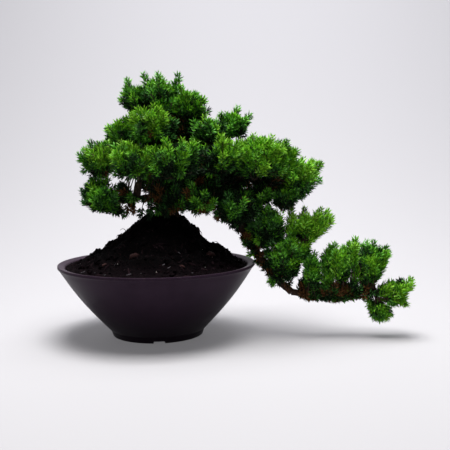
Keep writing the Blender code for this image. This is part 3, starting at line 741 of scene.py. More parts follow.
def lying_chip(shape, x, y, long, wide, degrees):
    """A chunk laid flat on the mound, as a skin."""
    spot, nearby = Vector((x, y)) * MM, (Vector((MM, 0)), Vector((0, MM)))
    falls = [soil_height(spot - near) - soil_height(spot + near) for near in nearby]
    turn = UP.rotation_difference(Vector((*falls, 2 * MM))) @ Quaternion(UP, math.radians(degrees))
    seat = Vector((*spot, soil_height(spot) + wide * 0.45 * MM))
    flat = [stretched(corner.co, (long, wide, wide * 0.9)) for corner in shape.data.vertices]
    corners = [turn @ place * MM + seat for place in flat]
    return corners, [tuple(face.vertices) for face in shape.data.polygons]


def root_hair(x, y, length, lean, curl):
    """A wiry root that curls up out of the mound, as a skin."""
    spot = Vector((x, y)) * MM
    place, aim = Vector((*spot, soil_height(spot) - 1 * MM)), Vector((lean, -0.2, 1)).normalized()
    path = [place]
    for _ in range(HAIR_STEPS):
        aim = Quaternion((0, 1, 0), 2 * math.pi * curl / HAIR_STEPS) @ aim
        path.append(path[-1] + aim * length * MM / HAIR_STEPS)
    return skin(tube_rings(path, steps(HAIR_RADIUS * 1.3, HAIR_RADIUS * 0.7, HAIR_STEPS + 1), 5))


chip_reds = (0.026, 0.010, 0.010), (0.075, 0.030, 0.028), (0.110, 0.052, 0.048)
red_chip = peat_material("red_chip", *chip_reds, 0.15)
pale_shred = mottled_material("pale_shred", 0.85, 700, (0.020, 0.015, 0.020), (0.085, 0.075, 0.090), 2200)
chip_shape = chunk("chip_shape", 2, (1, 1, 1), 2, 0.5)
chips = joined("red_chips", [lying_chip(chip_shape, *chip) for chip in RED_CHIPS], red_chip)
shreds = joined("pale_shreds", [lying_chip(chip_shape, *shred) for shred in PALE_SHREDS], pale_shred)
hairs = joined("root_hairs", [root_hair(*hair) for hair in ROOT_HAIRS], bark)
bpy.data.objects.remove(chip_shape)
for piece, slot in ((chips, "soil"), (shreds, "soil"), (hairs, "bark")):
    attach(piece, "root")

# Shoots
# Each mass of foliage is a fan of twigs from one bough. A twig carries a spray: a main shoot
# with side shoots. They keep to the mass's space, are clear of the limbs and bend upwards.
SEED = 41
SPRAY_AREA = 180 * MM**2  # the area of a mass's surface that one spray covers
SPRAY_LENGTH = 24 * MM
SPRAY_LENGTHS = (0.8, 1.15)  # as shares of it
TWIG_STARTS = (0.35, 1.0)  # where on their mass's stem the sprays' twigs start
TIP_DEPTH = 5 * MM  # how far leading tips may lie in front of or behind their mass's middle
SPRAY_SHAKE = 0.25
SIDE_SHOOTS = (3, 4)
SIDE_SHARE = 0.3  # how long a side shoot is, as a share of its main shoot
TIP_SHARES = (0.7, 0.98)  # how far out the sprays end, as shares of the reach
HOLLOW_SHARE = 0.62  # how far out the shoots in a dark hollow end, as a share of the rest; they get the painted shade green
LEADING = 0.27  # share of the sprays that lead: their tips stand out, with short side shoots
LEADING_SHARES = (0.97, 1.04)
LEADING_SIDES = (5, 7)
LEADING_SIDE_SHARE = 0.27
UNDERSIDE = -0.3  # no spray leads in a direction lower than this
STEM_RADII = (1.5 * MM, 0.7 * MM)
CORE_SHARES = (0.2, 1.0)
INNER_SPRAYS = 17  # old shoots in the painted shade green inside each mass, and how far out they end
INNER_SHARES = (0.4, 0.7)
FINGER_SIDE_STEP = 3.2 * MM
SHORT_FINGER = 16 * MM
FINGER_SIDE_SHARE = 0.24
OUTLINE_BAND = 0.45  # how far to the front or back a direction may lie and still be in the outline
BORDER_SHARES = (0.90, 1.0)  # how far out the sprays at a border with another mass end
LEAST_SHARE = 0.3  # sprays that would end nearer to their mass's middle are left out
FAN_LAYERS = ((0.1, 1.0), (-0.4, 0.85), (0.5, 0.8))  # each layer's depth and length, as shares
LAYER_SHAKE = 0.15
LAYER_DRIFT = 20 * MM
FAN_CORE = 0.42  # how wide and high the core of a fan of shoots is, as a share of its reach
SHOOT_RISE = 0.12  # how much shoots bend upwards, as a share of their length
VALLEY = 0.9  # how far out the rest of the outline lies where leading shoots stand out
FILL = 1.15  # how far a crown's mass may grow past its reach to meet its neighbour
SIDE_START = 0.06  # where along its main shoot the first side shoot grows, and the last one
SIDE_END = 0.92
SIDE_ANGLE = math.radians(38)
SIDE_SHAKE = 0.6  # how far a side shoot may be moved on, as a share of their distance
SIDE_LENGTHS = (0.8, 1.2)
SIDE_TAPER = (1.25, 0.4)  # how long side shoots are at the foot and at the tip of their main shoot
TURN_SHAKE = 0.3
THICK = 1.3  # how much thicker wood is at the foot of a shoot than along it
SPRIG_SIDES = (1, 3)
SPRIG_LEAN = 0.4  # how far sprigs lean along their limb
SPRIG_SEAT = 0.8  # how far out their feet are, as a share of the limb's radius
HANGING = -0.2  # sprigs that point lower than this are short
HANGING_SHARE = 0.35
TONE_ENDS = (0.40, 0.70)  # where a main shoot turns from its oldest green, darker with painted shade, and to its youngest
SIDE_TONE_END = 0.45  # where a side shoot turns from its darker green, partly painted shade, to its youngest green
CUSHION_SIZE = 23 * MM
CUSHION_DEPTH = 0.3  # how far the hollows between cushions lie in, as a share of the reach
GOLDEN_TURN = math.pi * (3 - math.sqrt(5))
UPTURN = 0.35
FAN = 0.3  # how far sprays lean the way that their mass's stem grows
LIFT = 0.75  # how far they lean upwards
NEEDLE_REACH = 3.6 * MM  # how far the last needles reach past their shoot
TWIG_RADIUS = 0.55 * MM
AXIS_RADIUS = 0.32 * MM
NEEDLE_ROOM = 4 * MM
LIMB_ROOM = 1.5 * MM
FLOOR_ROOM = 4 * MM

# Each mass: its middle and its reach from there in mm, the limb that carries it, and how fresh its green is
# and how lit it is painted, from -2.2 for old and in painted shade to 1.3 for young and in painted light
MASSES = {
    "apex": ((7, 0, 275), (31, 30, 31), "trunk", 0.25),
    "apex_left": ((-20, -8, 274), (22, 22, 21), "trunk", 0.45),
    "apex_right": ((39, 4, 264), (28, 26, 29), "trunk", 0.2),
    "crown_front": ((-2, -30, 242), (31, 25, 24), "trunk", 0.7),
    "shoulder_left": ((-38, -6, 234), (24, 25, 21), "trunk", 0.2),
    "upper_centre": ((61, -22, 233), (25, 23, 22), "bough_upper_right", -0.1),
    "upper_right": ((91, 0, 243), (24, 25, 22), "bough_upper_right", 0.3),
    "left": ((-68, 0, 203), (26, 28, 25), "bough_left", 0.6),
    "front_left": ((-24, -44, 202), (32, 24, 26), "bough_front", 0.9),
    "front": ((27, -50, 203), (33, 24, 29), "bough_front", 0.6),
    "front_right": ((75, -42, 205), (32, 24, 28), "bough_right", 0.45),
    "right": ((123, -20, 201), (40, 32, 33), "bough_right", 0.9),
    "far_right": ((167, -5, 181), (30, 29, 27), "bough_far_right", 1.3),
    "back": ((24, 46, 238), (44, 34, 36), "bough_back", 0.0),
    "back_left": ((-37, 45, 210), (38, 32, 34), "bough_back_left", 0.0),
    "back_right": ((127, 46, 203), (42, 32, 30), "bough_back_right", 0.2),
    "low_back": ((7, 52, 177), (39, 32, 27), "bough_back_left", -0.6),
    "low_back_right": ((85, 48, 172), (37, 32, 27), "bough_back_right", -0.6),
    "low_left": ((-61, -10, 161), (29, 25, 23), "bough_low_left", -0.3),
    "left_under": ((-23, -8, 167), (29, 23, 26), "bough_left", -1.9),
    "low_centre": ((20, -27, 160), (32, 18, 18), "cascade_limb", -2.2),
    "low_front": ((52, -32, 160), (30, 25, 27), "cascade_limb", -2.0),
    "low_right": ((92, -30, 151), (32, 25, 28), "cascade_limb", -1.8),
    "low_mid_right": ((124, -8, 165), (25, 23, 21), "bough_far_right", -1.7),
    "low_far_right": ((149, -12, 158), (21, 21, 18), "bough_far_right", -0.9),
    "limb_upper": ((129, -18, 123), (30, 23, 31), "cascade_limb", -0.4),
    "shoots": ((172, -15, 127), (27, 24, 23), "side_limb", 1.0),
    "inner": ((153, -20, 86), (32, 25, 37), "cascade_limb", -0.3),
    "small": ((180, -24, 74), (21, 18, 29), "cascade_far", 0.0),
    "cascade_a": ((214, -20, 78), (24, 23, 35), "cascade_far", 0.2),
    "cascade_b": ((247, -22, 82), (31, 24, 35), "cascade_far", 0.35),
    "cascade_tip": ((277, -28, 55), (26, 21, 18), "cascade_far", 0.5),
    "cascade_low": ((256, -28, 29), (20, 17, 20), "cascade_far", 0.3),
}
# Old shoots in the painted shade green in the middle of the crown, behind its masses: the limb that they
# grow from, the middle and the reach of their cloud in mm, and how many there are
CORES = (
    ("trunk", (40, 8, 214), (85, 24, 26), 110),
    ("bough_far_right", (138, 6, 178), (32, 14, 14), 34),
    ("cascade_limb", (112, -2, 153), (24, 10, 14), 18),
    ("trunk", (-3, 6, 224), (13, 9, 8), 14),
    ("trunk", (20, -14, 172), (26, 10, 13), 24),
)
# Leading shoots that stand out of the outline: each mass's, as their tips in mm across and up
LEADERS = {
    "apex": ((-12, 304), (4, 305), (14, 290), (30, 303), (-4, 294), (20, 287), (27, 295)),
    "apex_left": ((-31, 297), (-37, 281), (-28, 289), (-41, 275)),
    "apex_right": ((49, 282), (54, 272), (58, 263), (42, 277)),
    "shoulder_left": ((-34, 254), (-58, 241), (-47, 244), (-24, 262), (-42, 250)),
    "upper_right": ((98, 265), (113, 256), (87, 257), (111, 247), (77, 247)),
    "left": ((-77, 227), (-91, 212), (-85, 218), (-68, 226), (-89, 207), (-59, 225), (-74, 193)),
    "low_left": (
        (-88, 170), (-84, 162), (-79, 178), (-74, 184), (-69, 188), (-62, 189),
        (-78, 152), (-67, 145), (-55, 142), (-42, 137), (-32, 137),
    ),
    "right": (
        (102, 224), (111, 225), (121, 228), (131, 226), (138, 220), (153, 225),
        (165, 215), (157, 216), (164, 208), (171, 200), (146, 217),
    ),
    "far_right": ((185, 202), (194, 200), (187, 189), (183, 178), (176, 169), (169, 160), (161, 151)),
    "limb_upper": ((142, 137), (145, 126), (147, 114)),
    "low_far_right": ((137, 166), (139, 158), (135, 152), (146, 150)),
}
# Their greens, by how fresh and how lit with painted light their mass is at least
LEADER_TONES = (("fresh", 0.6), ("green", 0.05))
# Long shoots with needles all round: each mass's, as their feet and tips in mm across and up
FINGERS = {
    "shoots": (
        (155, 109, 157, 147), (172, 113, 173, 147), (170, 118, 166, 138), (173, 122, 178, 139),
        (174, 115, 191, 147), (177, 116, 200, 145), (180, 115, 205, 139), (180, 112, 195, 130),
        (176, 107, 187, 121), (166, 99, 178, 111), (165, 95, 171, 104), (161, 102, 152, 116),
    ),
    "small": (
        (175, 59, 175, 101), (180, 57, 182, 97), (182, 61, 187, 84), (178, 75, 171, 91),
        (173, 54, 178, 77), (182, 52, 181, 77),
    ),
    "cascade_a": (
        (201, 69, 197, 99), (206, 67, 206, 106), (208, 76, 201, 104), (214, 69, 212, 99),
        (218, 71, 218, 103), (203, 53, 199, 81), (196, 55, 192, 86),
    ),
    "cascade_b": (
        (224, 74, 224, 108), (227, 79, 230, 113), (235, 81, 243, 110), (240, 79, 252, 109),
        (244, 76, 257, 100), (249, 78, 267, 104), (253, 76, 269, 98), (251, 67, 262, 90),
        (249, 60, 257, 81), (230, 55, 231, 86), (241, 55, 244, 88),
    ),
    "cascade_tip": (
        (253, 47, 266, 63), (257, 48, 272, 65), (264, 46, 296, 66), (271, 46, 291, 59),
        (264, 46, 274, 33), (270, 44, 280, 34), (276, 45, 291, 34), (267, 44, 290, 49),
        (255, 45, 263, 38),
    ),
    "cascade_low": (
        (251, 40, 253, 12), (255, 42, 260, 11), (257, 40, 267, 13), (260, 38, 271, 20),
        (253, 42, 241, 32), (253, 38, 245, 24), (248, 45, 239, 39),
    ),
    "right": (
        (128, 200, 133, 226), (118, 202, 121, 228), (139, 200, 153, 225), (145, 196, 165, 215),
        (150, 190, 171, 200), (104, 200, 103, 224),
    ),
    "far_right": (
        (168, 182, 194, 200), (163, 184, 185, 202), (170, 176, 187, 189), (166, 168, 183, 178),
        (160, 164, 176, 169), (157, 186, 172, 200), (152, 178, 160, 196), (160, 176, 176, 192),
    ),
    "low_far_right": (
        (149, 155, 173, 162), (144, 153, 163, 150), (140, 151, 155, 146), (156, 162, 180, 170),
        (135, 152, 145, 142), (130, 153, 135, 141),
    ),
    "low_front": (
        (68, 162, 67, 145), (71, 157, 74, 131), (76, 154, 69, 136), (59, 159, 58, 144),
        (80, 150, 79, 130), (86, 146, 89, 123),
    ),
    "low_right": (
        (84, 152, 86, 134), (98, 152, 95, 134), (109, 150, 111, 131),
    ),
    "inner": (
        (138, 84, 135, 111), (148, 84, 146, 115), (158, 84, 160, 113), (130, 91, 127, 112),
        (142, 65, 141, 91), (155, 60, 156, 86), (140, 70, 127, 62), (134, 68, 134, 55),
    ),
    "left_under": (
        (-43, 159, -50, 168), (-34, 159, -39, 170), (-26, 156, -31, 151), (-39, 152, -43, 145),
        (-41, 153, -47, 140), (-32, 154, -34, 137), (-25, 153, -26, 139), (-15, 150, -19, 135),
        (-7, 155, -5, 138), (1, 151, 3, 136), (6, 158, 9, 142),
    ),
    "low_centre": (
        (34, 157, 31, 141), (27, 156, 25, 143), (41, 156, 41, 146), (6, 160, 3, 139),
        (13, 157, 15, 136), (20, 160, 20, 140), (-3, 152, -7, 134), (46, 159, 44, 141),
        (52, 157, 52, 140), (60, 156, 61, 139),
    ),
    "limb_upper": (
        (109, 128, 109, 149), (118, 128, 121, 151), (128, 124, 130, 150), (102, 134, 101, 150),
        (113, 108, 99, 105), (116, 100, 104, 92), (136, 122, 138, 146),
    ),
    "low_mid_right": ((138, 168, 141, 184), (132, 168, 136, 187), (107, 162, 108, 178)),
    "low_left": (
        (-66, 167, -72, 186), (-61, 171, -63, 190), (-69, 164, -79, 179), (-56, 173, -55, 188),
        (-52, 153, -43, 139), (-64, 156, -59, 143),
    ),
}
# Masses that are open fans of such shoots, with only a small core between them
FANS = ("shoots", "small", "cascade_a", "cascade_b", "cascade_tip", "cascade_low")
# Young shoots that stand out from the front of the crown and from the shade under it: each
# mass's, across and up
FRONT_SHOOTS = {
    "crown_front": ((-25, 228), (-15, 223), (-6, 226), (4, 222), (13, 227), (-19, 235), (8, 235)),
    "low_centre": ((40, 163),),
    "low_front": ((46, 160), (53, 153), (66, 148), (72, 158), (60, 168)),
    "low_right": ((87, 157), (95, 149), (103, 161), (112, 160), (88, 142), (106, 147)),
    "low_mid_right": ((122, 160), (114, 152), (131, 168)),
    "low_left": ((-70, 160), (-55, 155), (-62, 170), (-48, 150)),
    "left_under": ((-20, 178), (-28, 162), (-12, 168)),
}
# Gaps that the paper shows through, and dark hollows in the front, whose shoots get painted shade: each as
# its place across and up, its half width and its half height in mm, as seen from the camera's place
VIEW_POINT = Vector((0.0805, -0.8957, 0.2158))
GAPS = (
    (-47, 182, 2.5, 4), (-33, 176, 3, 2), (-18, 164, 12, 3.5), (-10, 149, 3, 1.5),
    (27, 144, 3, 3.5), (7, 255, 2, 2.5), (171, 78, 4, 6), (194, 70, 1.5, 6),
    (143, 146, 2.5, 1.5), (150, 139, 2, 4), (166, 128, 1.5, 5), (101, 139, 1, 2),
    (125, 131, 1.5, 1.2), (268, 57, 2, 2), (13, 303, 3.5, 5), (-21, 300, 4, 6), (-3, 305, 2, 4),
    (40, 296, 4, 6), (-36, 288, 2, 2), (142, 231, 4, 3),
)
HOLLOWS = (
    (31, 238, 11, 9), (-1, 214, 5, 10), (58, 228, 8, 8), (76, 181, 20, 15),
    (110, 182, 25, 17), (14, 158, 19, 15), (140, 178, 12, 12),
)
# The greens of sprigs in painted shade and of withered ones; then the sprigs along each limb: the stretch
# that they grow on, how far apart they are and how long in mm, how much they rise, their greens
DULL = ("deep", "shade", "shade", "dry")
WITHERED = ("deep", "shade", "dry", "dry")
SPRIGS = (
    ("trunk", 0.2, 0.9, 1.4, (13, 22), 0.2, DULL),
    ("bough_left", 0.2, 1.0, 1.8, (10, 18), 0.0, DULL),
    ("bough_low_left", 0.2, 1.0, 2.2, (9, 16), 0.1, DULL),
    ("bough_front", 0.2, 1.0, 2.2, (9, 16), 0.1, DULL),
    ("bough_right", 0.1, 1.0, 1.5, (14, 24), 0.1, DULL),
    ("bough_upper_right", 0.2, 1.0, 2.2, (9, 16), 0.3, DULL),
    ("bough_far_right", 0.05, 1.0, 1.5, (12, 20), 0.1, DULL),
    ("side_limb", 0.1, 1.0, 2.4, (8, 14), 0.4, DULL),
    ("cascade_limb", 0.0, 0.35, 1.1, (14, 24), -0.3, WITHERED),
    ("cascade_limb", 0.35, 0.8, 1.3, (7, 12), 0.3, WITHERED),
    ("cascade_far", 0.08, 0.95, 0.9, (8, 16), 0.8, ("deep", "deep", "dry", "shade")),
    ("cascade_far", 0.1, 0.7, 0.8, (6, 11), 0.4, ("dry", "dry", "dry", "deep")),
)
# Masses with air round them, which do not grow together
LOOSE = ("shoots", "inner", "limb_upper")
# A spray's score for its place on the mass, higher for painted light on top and lower for painted shade
# underneath, for how fresh and lit its mass is, for its cushion, which paints shade in the hollows, and by
# chance; the least score of each green, and how many of the sprays below them all are withered
PLACE_SCORE = 0.75
FRESH_AND_LIT_SCORE = 0.4
CUSHION_SCORE = 0.9
CHANCE_SCORE = 0.2
TONE_SCORES = (("young", 0.80), ("fresh", 0.45), ("green", 0.08), ("deep", -0.28))
DRY_SHARE = 0.2
# A shoot's greens from its oldest needles to its youngest, for each green of a spray: darker towards the
# foot for older needles and for painted shade
GREENS = {
    "young": ("green", "fresh", "young"),
    "fresh": ("deep", "green", "fresh"),
    "green": ("shade", "deep", "green"),
    "deep": ("shade", "shade", "deep"),
    "shade": ("shade", "shade", "shade"),
    "dry": ("dry", "dry", "dry"),
}
# The greens that side shoots may have, for each green of their main shoot
SIDES = {
    "young": ("young", "young", "fresh"),
    "fresh": ("fresh", "fresh", "green"),
    "green": ("green", "green", "fresh", "deep"),
    "deep": ("deep", "deep", "green", "shade"),
    "shade": ("shade", "shade", "deep"),
    "dry": ("dry", "shade"),
}


def spread(count, rng):
    """Directions spread evenly over a ball, each shaken a little."""
    for k in range(count):
        z = 1 - 2 * (k + 0.5) / count
        flat = math.sqrt(1 - z * z)
        way = Vector((flat * math.cos(GOLDEN_TURN * k), flat * math.sin(GOLDEN_TURN * k), z))
        shake = Vector([rng.uniform(-SPRAY_SHAKE, SPRAY_SHAKE) for _ in range(3)])
        yield (way + shake).normalized()


def scaled(way, reach, share=1.0):
    """A direction stretched to a share of a mass's reach."""
    return stretched(way, reach) * share


def nearest_on(path, point):
    """The point of a path that is nearest to this one."""
    return min(path, key=lambda place: (place - point).length)


def borders(name):
    """Planes half-way to each other mass that keep this one to its own space."""
    centre, reach = Vector(MASSES[name][0]) * MM, Vector(MASSES[name][1]) * MM
    planes = []
    for other, (at, size, _, _) in MASSES.items():
        if other != name:
            away = Vector(at) * MM - centre
            way = away.normalized()
            own, far = scaled(way, reach).length, scaled(way, Vector(size) * MM).length
            planes.append((way, away.length * own / (own + far)))
    return planes


def fit(out, planes, fill):
    """The share of an arm that ends at a border, or 1 where none is near."""
    crossed = min((limit / out.dot(way) for way, limit in planes if out.dot(way) > 0), default=fill)
    return crossed if crossed < fill else 1.0


wood = [(p, r) for name in limbs for p, r in zip(limbs[name][::3], limb_radii[name][::3])]


def lies_in(openings, point):
    """Say if a point lies in one of the openings, as seen from the front."""
    seen = VIEW_POINT.lerp(point, VIEW_POINT.y / (VIEW_POINT.y - point.y)) / MM
    return any(
        ((seen.x - x) / wide) ** 2 + ((seen.z - z) / high) ** 2 < 1 for x, z, wide, high in openings
    )  # fmt: skip


def clear_of_wood(point, room):
    """Say if a point is at least this far from every limb."""
    return all((point - p).length > r + room for p, r in wood)


def bent(start, end, aim, count):
    """A twig's path that leaves straight and ends along its aim."""
    control = end - aim * (end - start).length * 0.45
    return [start * (1 - t) ** 2 + control * 2 * t * (1 - t) + end * t**2 for t in steps(0, 1, count)]


def curved_shoot(base, aim, length, rise, count=6):
    """A shoot's path that bends upwards by a share of its length."""
    return [base + aim * length * t + UP * length * rise * t**2 for t in steps(0, 1, count)]


def tone_of(way, fresh_and_lit, lobe, rng):
    """A spray's green by its place: younger and in painted light on top of the cushions, older and in
    painted shade in hollows and underneath.
    """
    score = PLACE_SCORE * way.z + FRESH_AND_LIT_SCORE * fresh_and_lit + CUSHION_SCORE * lobe
    score += rng.gauss(0, CHANCE_SCORE)
    for tone, least in TONE_SCORES:
        if score > least:
            return tone
    return "dry" if rng.random() < DRY_SHARE else "shade"


shoots = {tone: [] for tone in GREENS}
twigs = []
twiglets = []


def sideways(direction, turn):
    """The way square to a direction at this turn round it."""
    side, other = across(direction)
    return side * math.cos(turn) + other * math.sin(turn)


def carry(start, base, aim):
    """A twig from its carrier to the foot of a shoot."""
    radii = steps(TWIG_RADIUS * THICK, AXIS_RADIUS * THICK, 5)
    twigs.append((bent(start, base, aim, 5), radii, 4))


def leafy_shoot(path, ends, tone):
    """Needles along a shoot, in the spray's greens from the oldest, darker with painted shade, to the
    youngest.
    """
    for start, end, green in zip((0, *ends), (*ends, 1), GREENS[tone][-1 - len(ends) :]):
        places = steps(start, end, max(3, round(len(path) * (end - start)) + 1))
        shoots[green].append([point_along(path, place) for place in places])


def add_spray(base, aim, length, tone, rng, sides=SIDE_SHOOTS, side_share=SIDE_SHARE):
    """A main shoot and its side shoots, with the twigs of both."""
    main = curved_shoot(base, aim, length, SHOOT_RISE)
    if any(lies_in(GAPS, place) for place in main):
        return
    leafy_shoot(main, TONE_ENDS, tone)
    twigs.append((main[:-1:2], steps(AXIS_RADIUS * THICK, AXIS_RADIUS, 3), 3))
    count = rng.randint(*sides)
    for k in range(count):
        along = SIDE_START + (SIDE_END - SIDE_START) * (k + rng.uniform(0, SIDE_SHAKE)) / count
        turn = GOLDEN_TURN * k + rng.uniform(-TURN_SHAKE, TURN_SHAKE)
        lean = aim * math.cos(SIDE_ANGLE) + sideways(aim, turn) * math.sin(SIDE_ANGLE)
        taper = SIDE_TAPER[0] + (SIDE_TAPER[1] - SIDE_TAPER[0]) * along
        reachable = length * side_share * rng.uniform(*SIDE_LENGTHS) * taper
        twiglet = curved_shoot(point_along(main, along), lean, reachable, SHOOT_RISE, 4)
        end = twiglet[-1]
        if end.z > FLOOR_ROOM and clear_of_wood(end, LIMB_ROOM) and not lies_in(GAPS, end):
            green = rng.choice(SIDES[tone])
            leafy_shoot([point_along(twiglet, 0.2), *twiglet[1:]], (SIDE_TONE_END,), green)
            twiglets.append((twiglet[:3:2], [AXIS_RADIUS, AXIS_RADIUS * 0.7], 3))


def outer_sprays(name, centre, reach, fresh_and_lit, rng):
    """The sprays over a mass's cushions: each one's tip, its green, and if it leads."""
    sprays, planes = [], borders(name)
    fill = 1.0 if MASSES[name][2] == "cascade_far" or name in LOOSE else FILL
    for straight in spread(round(4 * math.pi * (sum(reach) / 3) ** 2 / SPRAY_AREA), rng):
        way = (straight + UP * UPTURN * (1 - abs(straight.z))).normalized()
        out = scaled(way, reach)
        share = fit(out, planes, fill)
        lobe = noise.noise((centre + out * share) / CUSHION_SIZE)
        outlined = name in LEADERS and abs(way.y) < OUTLINE_BAND
        leads = share == 1 and way.z > UNDERSIDE and rng.random() < LEADING and not outlined
        if leads:
            share *= rng.uniform(*LEADING_SHARES)
        elif share == 1:
            share *= rng.uniform(*TIP_SHARES) * (1 + CUSHION_DEPTH * min(lobe * 2, 0.3))
        else:
            share *= rng.uniform(*BORDER_SHARES)
        if outlined:
            share *= VALLEY
        if name in FANS:
            out = stretched(out, (FAN_CORE, 1, FAN_CORE))
            leads = False
        if share > LEAST_SHARE:
            sprays.append((centre + out * share, tone_of(way, fresh_and_lit, lobe, rng), leads))
    return sprays


def leading_sprays(name, centre, reach, fresh_and_lit, rng):
    """The sprays that stand out of a mass's outline and out of its front."""
    sprays = []
    green = next((tone for tone, least in LEADER_TONES if fresh_and_lit > least), "deep")
    for x, z in LEADERS.get(name, ()):
        y = centre.y + rng.uniform(-TIP_DEPTH, TIP_DEPTH)
        sprays.append((Vector((x * MM, y, z * MM)), green, True))
    for x, z in FRONT_SHOOTS.get(name, ()):
        across_share, up_share = (x * MM - centre.x) / reach.x, (z * MM - centre.z) / reach.z
        depth = math.sqrt(max(1 - across_share**2 - up_share**2, 0.1))
        sprays.append((Vector((x * MM, centre.y - reach.y * depth, z * MM)), "green", True))
    return sprays


def grow_spray(tip, tone, leads, stem, rng):
    """A spray from a mass's stem to a tip, drawn in and given the painted shade green where it lies in a
    dark hollow.
    """
    centre = stem[-1]
    out = tip - centre
    if tip.y < centre.y and lies_in(HOLLOWS, tip):
        tip = centre + out * HOLLOW_SHARE
        tone = "shade"
        out = tip - centre
    lift = LIFT * min(1, 1 + 1.2 * out.normalized().z)
    growth = (centre - stem[0]).normalized()
    aim = (out.normalized() + growth * FAN + UP * max(lift, 0)).normalized()
    length = min(SPRAY_LENGTH * rng.uniform(*SPRAY_LENGTHS), out.length * 0.9)
    base = tip - aim * (length + NEEDLE_REACH)
    if tip.z > FLOOR_ROOM and clear_of_wood(tip, NEEDLE_ROOM):
        shape = (LEADING_SIDES, LEADING_SIDE_SHARE) if leads else (SIDE_SHOOTS, SIDE_SHARE)
        add_spray(base, aim, length, tone, rng, *shape)
        carry(point_along(stem, rng.uniform(*TWIG_STARTS)), base, aim)


def grow_finger(name, foot_x, foot_z, tip_x, tip_z, centre, reach, rng):
    """A long shoot, and in a fan shorter ones in front of it and behind it."""
    limb, fresh_and_lit = MASSES[name][2:]
    in_fan = name in FANS and math.hypot(tip_x - foot_x, tip_z - foot_z) * MM > SHORT_FINGER
    for depth, share in FAN_LAYERS if in_fan else ((0.0, 1.0),):
        y = centre.y + (depth + rng.uniform(-LAYER_SHAKE, LAYER_SHAKE)) * reach.y
        base, tip = Vector((foot_x * MM, y, foot_z * MM)), Vector((tip_x * MM, y, tip_z * MM))
        tip = base.lerp(tip, share) + Vector((rng.uniform(-1, 1), 0, 0)) * (1 - share) * LAYER_DRIFT
        length = (tip - base).length - NEEDLE_REACH
        aim = ((tip - base).normalized() - UP * SHOOT_RISE).normalized()
        # Lit masses get young greens, painted light; shaded ones get withered greens and the painted shade
        # green
        tone = "green" if fresh_and_lit > -0.5 else rng.choice(WITHERED)
        if fresh_and_lit > 0 and rng.random() < 0.5 + 0.5 * fresh_and_lit:
            tone = "young" if rng.random() < fresh_and_lit else "fresh"
        sides = round(length / FINGER_SIDE_STEP)
        add_spray(base, aim, length, tone, rng, (sides, sides), FINGER_SIDE_SHARE)
        carry(nearest_on(limbs[limb], base), base, aim)


for number, (name, (at, size, limb, fresh_and_lit)) in enumerate(MASSES.items()):
    rng = random.Random(SEED + number)
    centre, reach = Vector(at) * MM, Vector(size) * MM
    foot = nearest_on(limbs[limb], centre)
    stem = [foot.lerp(centre, t) for t in steps(0, 1, 8)]
    twigs.append((stem, steps(*STEM_RADII, 8), 6))
    sprays = outer_sprays(name, centre, reach, fresh_and_lit, rng)
    sprays += leading_sprays(name, centre, reach, fresh_and_lit, rng)
    for way in spread(INNER_SPRAYS, rng):
        sprays.append((centre + scaled(way, reach, rng.uniform(*INNER_SHARES)), "shade", False))
    for tip, tone, leads in sprays:
        grow_spray(tip, tone, leads, stem, rng)
    for finger in FINGERS.get(name, ()):
        grow_finger(name, *finger, centre, reach, rng)

rng = random.Random(SEED)
for limb, middle, reach, count in CORES:
    for way in spread(count, rng):
        tip = Vector(middle) * MM + scaled(way, Vector(reach) * MM, rng.uniform(*CORE_SHARES))
        start = nearest_on(limbs[limb], tip)
        aim = ((tip - start).normalized() + UP * LIFT).normalized()
        base = tip - aim * SPRAY_LENGTH
        if clear_of_wood(tip, NEEDLE_ROOM):
            add_spray(base, aim, SPRAY_LENGTH, "shade", rng)
            carry(start, base, aim)
for name, start, end, apart, lengths, rise, tones in SPRIGS:
    path = limbs[name]
    for _ in range(round(length_of(path) * (end - start) / (apart * MM))):
        share = start + (end - start) * rng.random()
        number = min(int(share * (len(path) - 1)), len(path) - 2)
        along = (path[number + 1] - path[number]).normalized()
        outward = sideways(along, rng.uniform(0, 2 * math.pi))
        aim = (outward + along * SPRIG_LEAN + UP * rise).normalized()
        base = path[number] + outward * limb_radii[name][number] * SPRIG_SEAT
        length = rng.uniform(*lengths) * MM * (HANGING_SHARE if aim.z < HANGING else 1)
        if base.z + aim.z * length > FLOOR_ROOM:
            add_spray(base, aim, length, rng.choice(tones), rng, SPRIG_SIDES)

twig_browns = (0.030, 0.017, 0.011), (0.105, 0.064, 0.036)
twig_bark = mottled_material("twig_bark", 0.85, 400, *twig_browns, 1500, 4, 0.75)
for name, rods in (("twigs", twigs), ("twiglets", twiglets)):
    piece = joined(name, [skin(tube_rings(path, radii, sides)) for path, radii, sides in rods], twig_bark)
    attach(piece, "root")

# Needles
# Awl-shaped leaves in whorls of three all along each shoot, which lean forward and close up
# towards its tip. They are grown on the shoots, and joined to a few pieces for each green.
NEEDLE_LENGTH = 6.9 * MM
NEEDLE_WIDTH = 1.75 * MM
NEEDLE_LEAN = math.radians(45)
NEEDLE_BOW = 0.14  # how far a needle's back stands out, as a share of its length
NEEDLE_BROADEST = 0.42  # where it is broadest, as a share of its length
NEEDLES_IN_WHORL = 3
NEEDLE_FACES = 4
WHORL_SPACING = 2.25 * MM
CLOSING_FROM = 0.5  # where along a shoot its whorls start to close up, and to get shorter
SHORTER_FROM = 0.55
CLOSED_TIP = 0.75  # how wide and how long the last whorl of a shoot is, as shares of the full ones
SHORT_TIP = 0.8
WHORL_SPIN = math.radians(60)
SPIN_SHAKE = 0.35
WHORL_SIZES = (0.84, 1.1)
NEEDLE_SEED = 17
PIECE_TRIANGLES = 185000
ROOT_SHADE = 0.1  # a needle's green at its root, painted shade, as a share of its full green
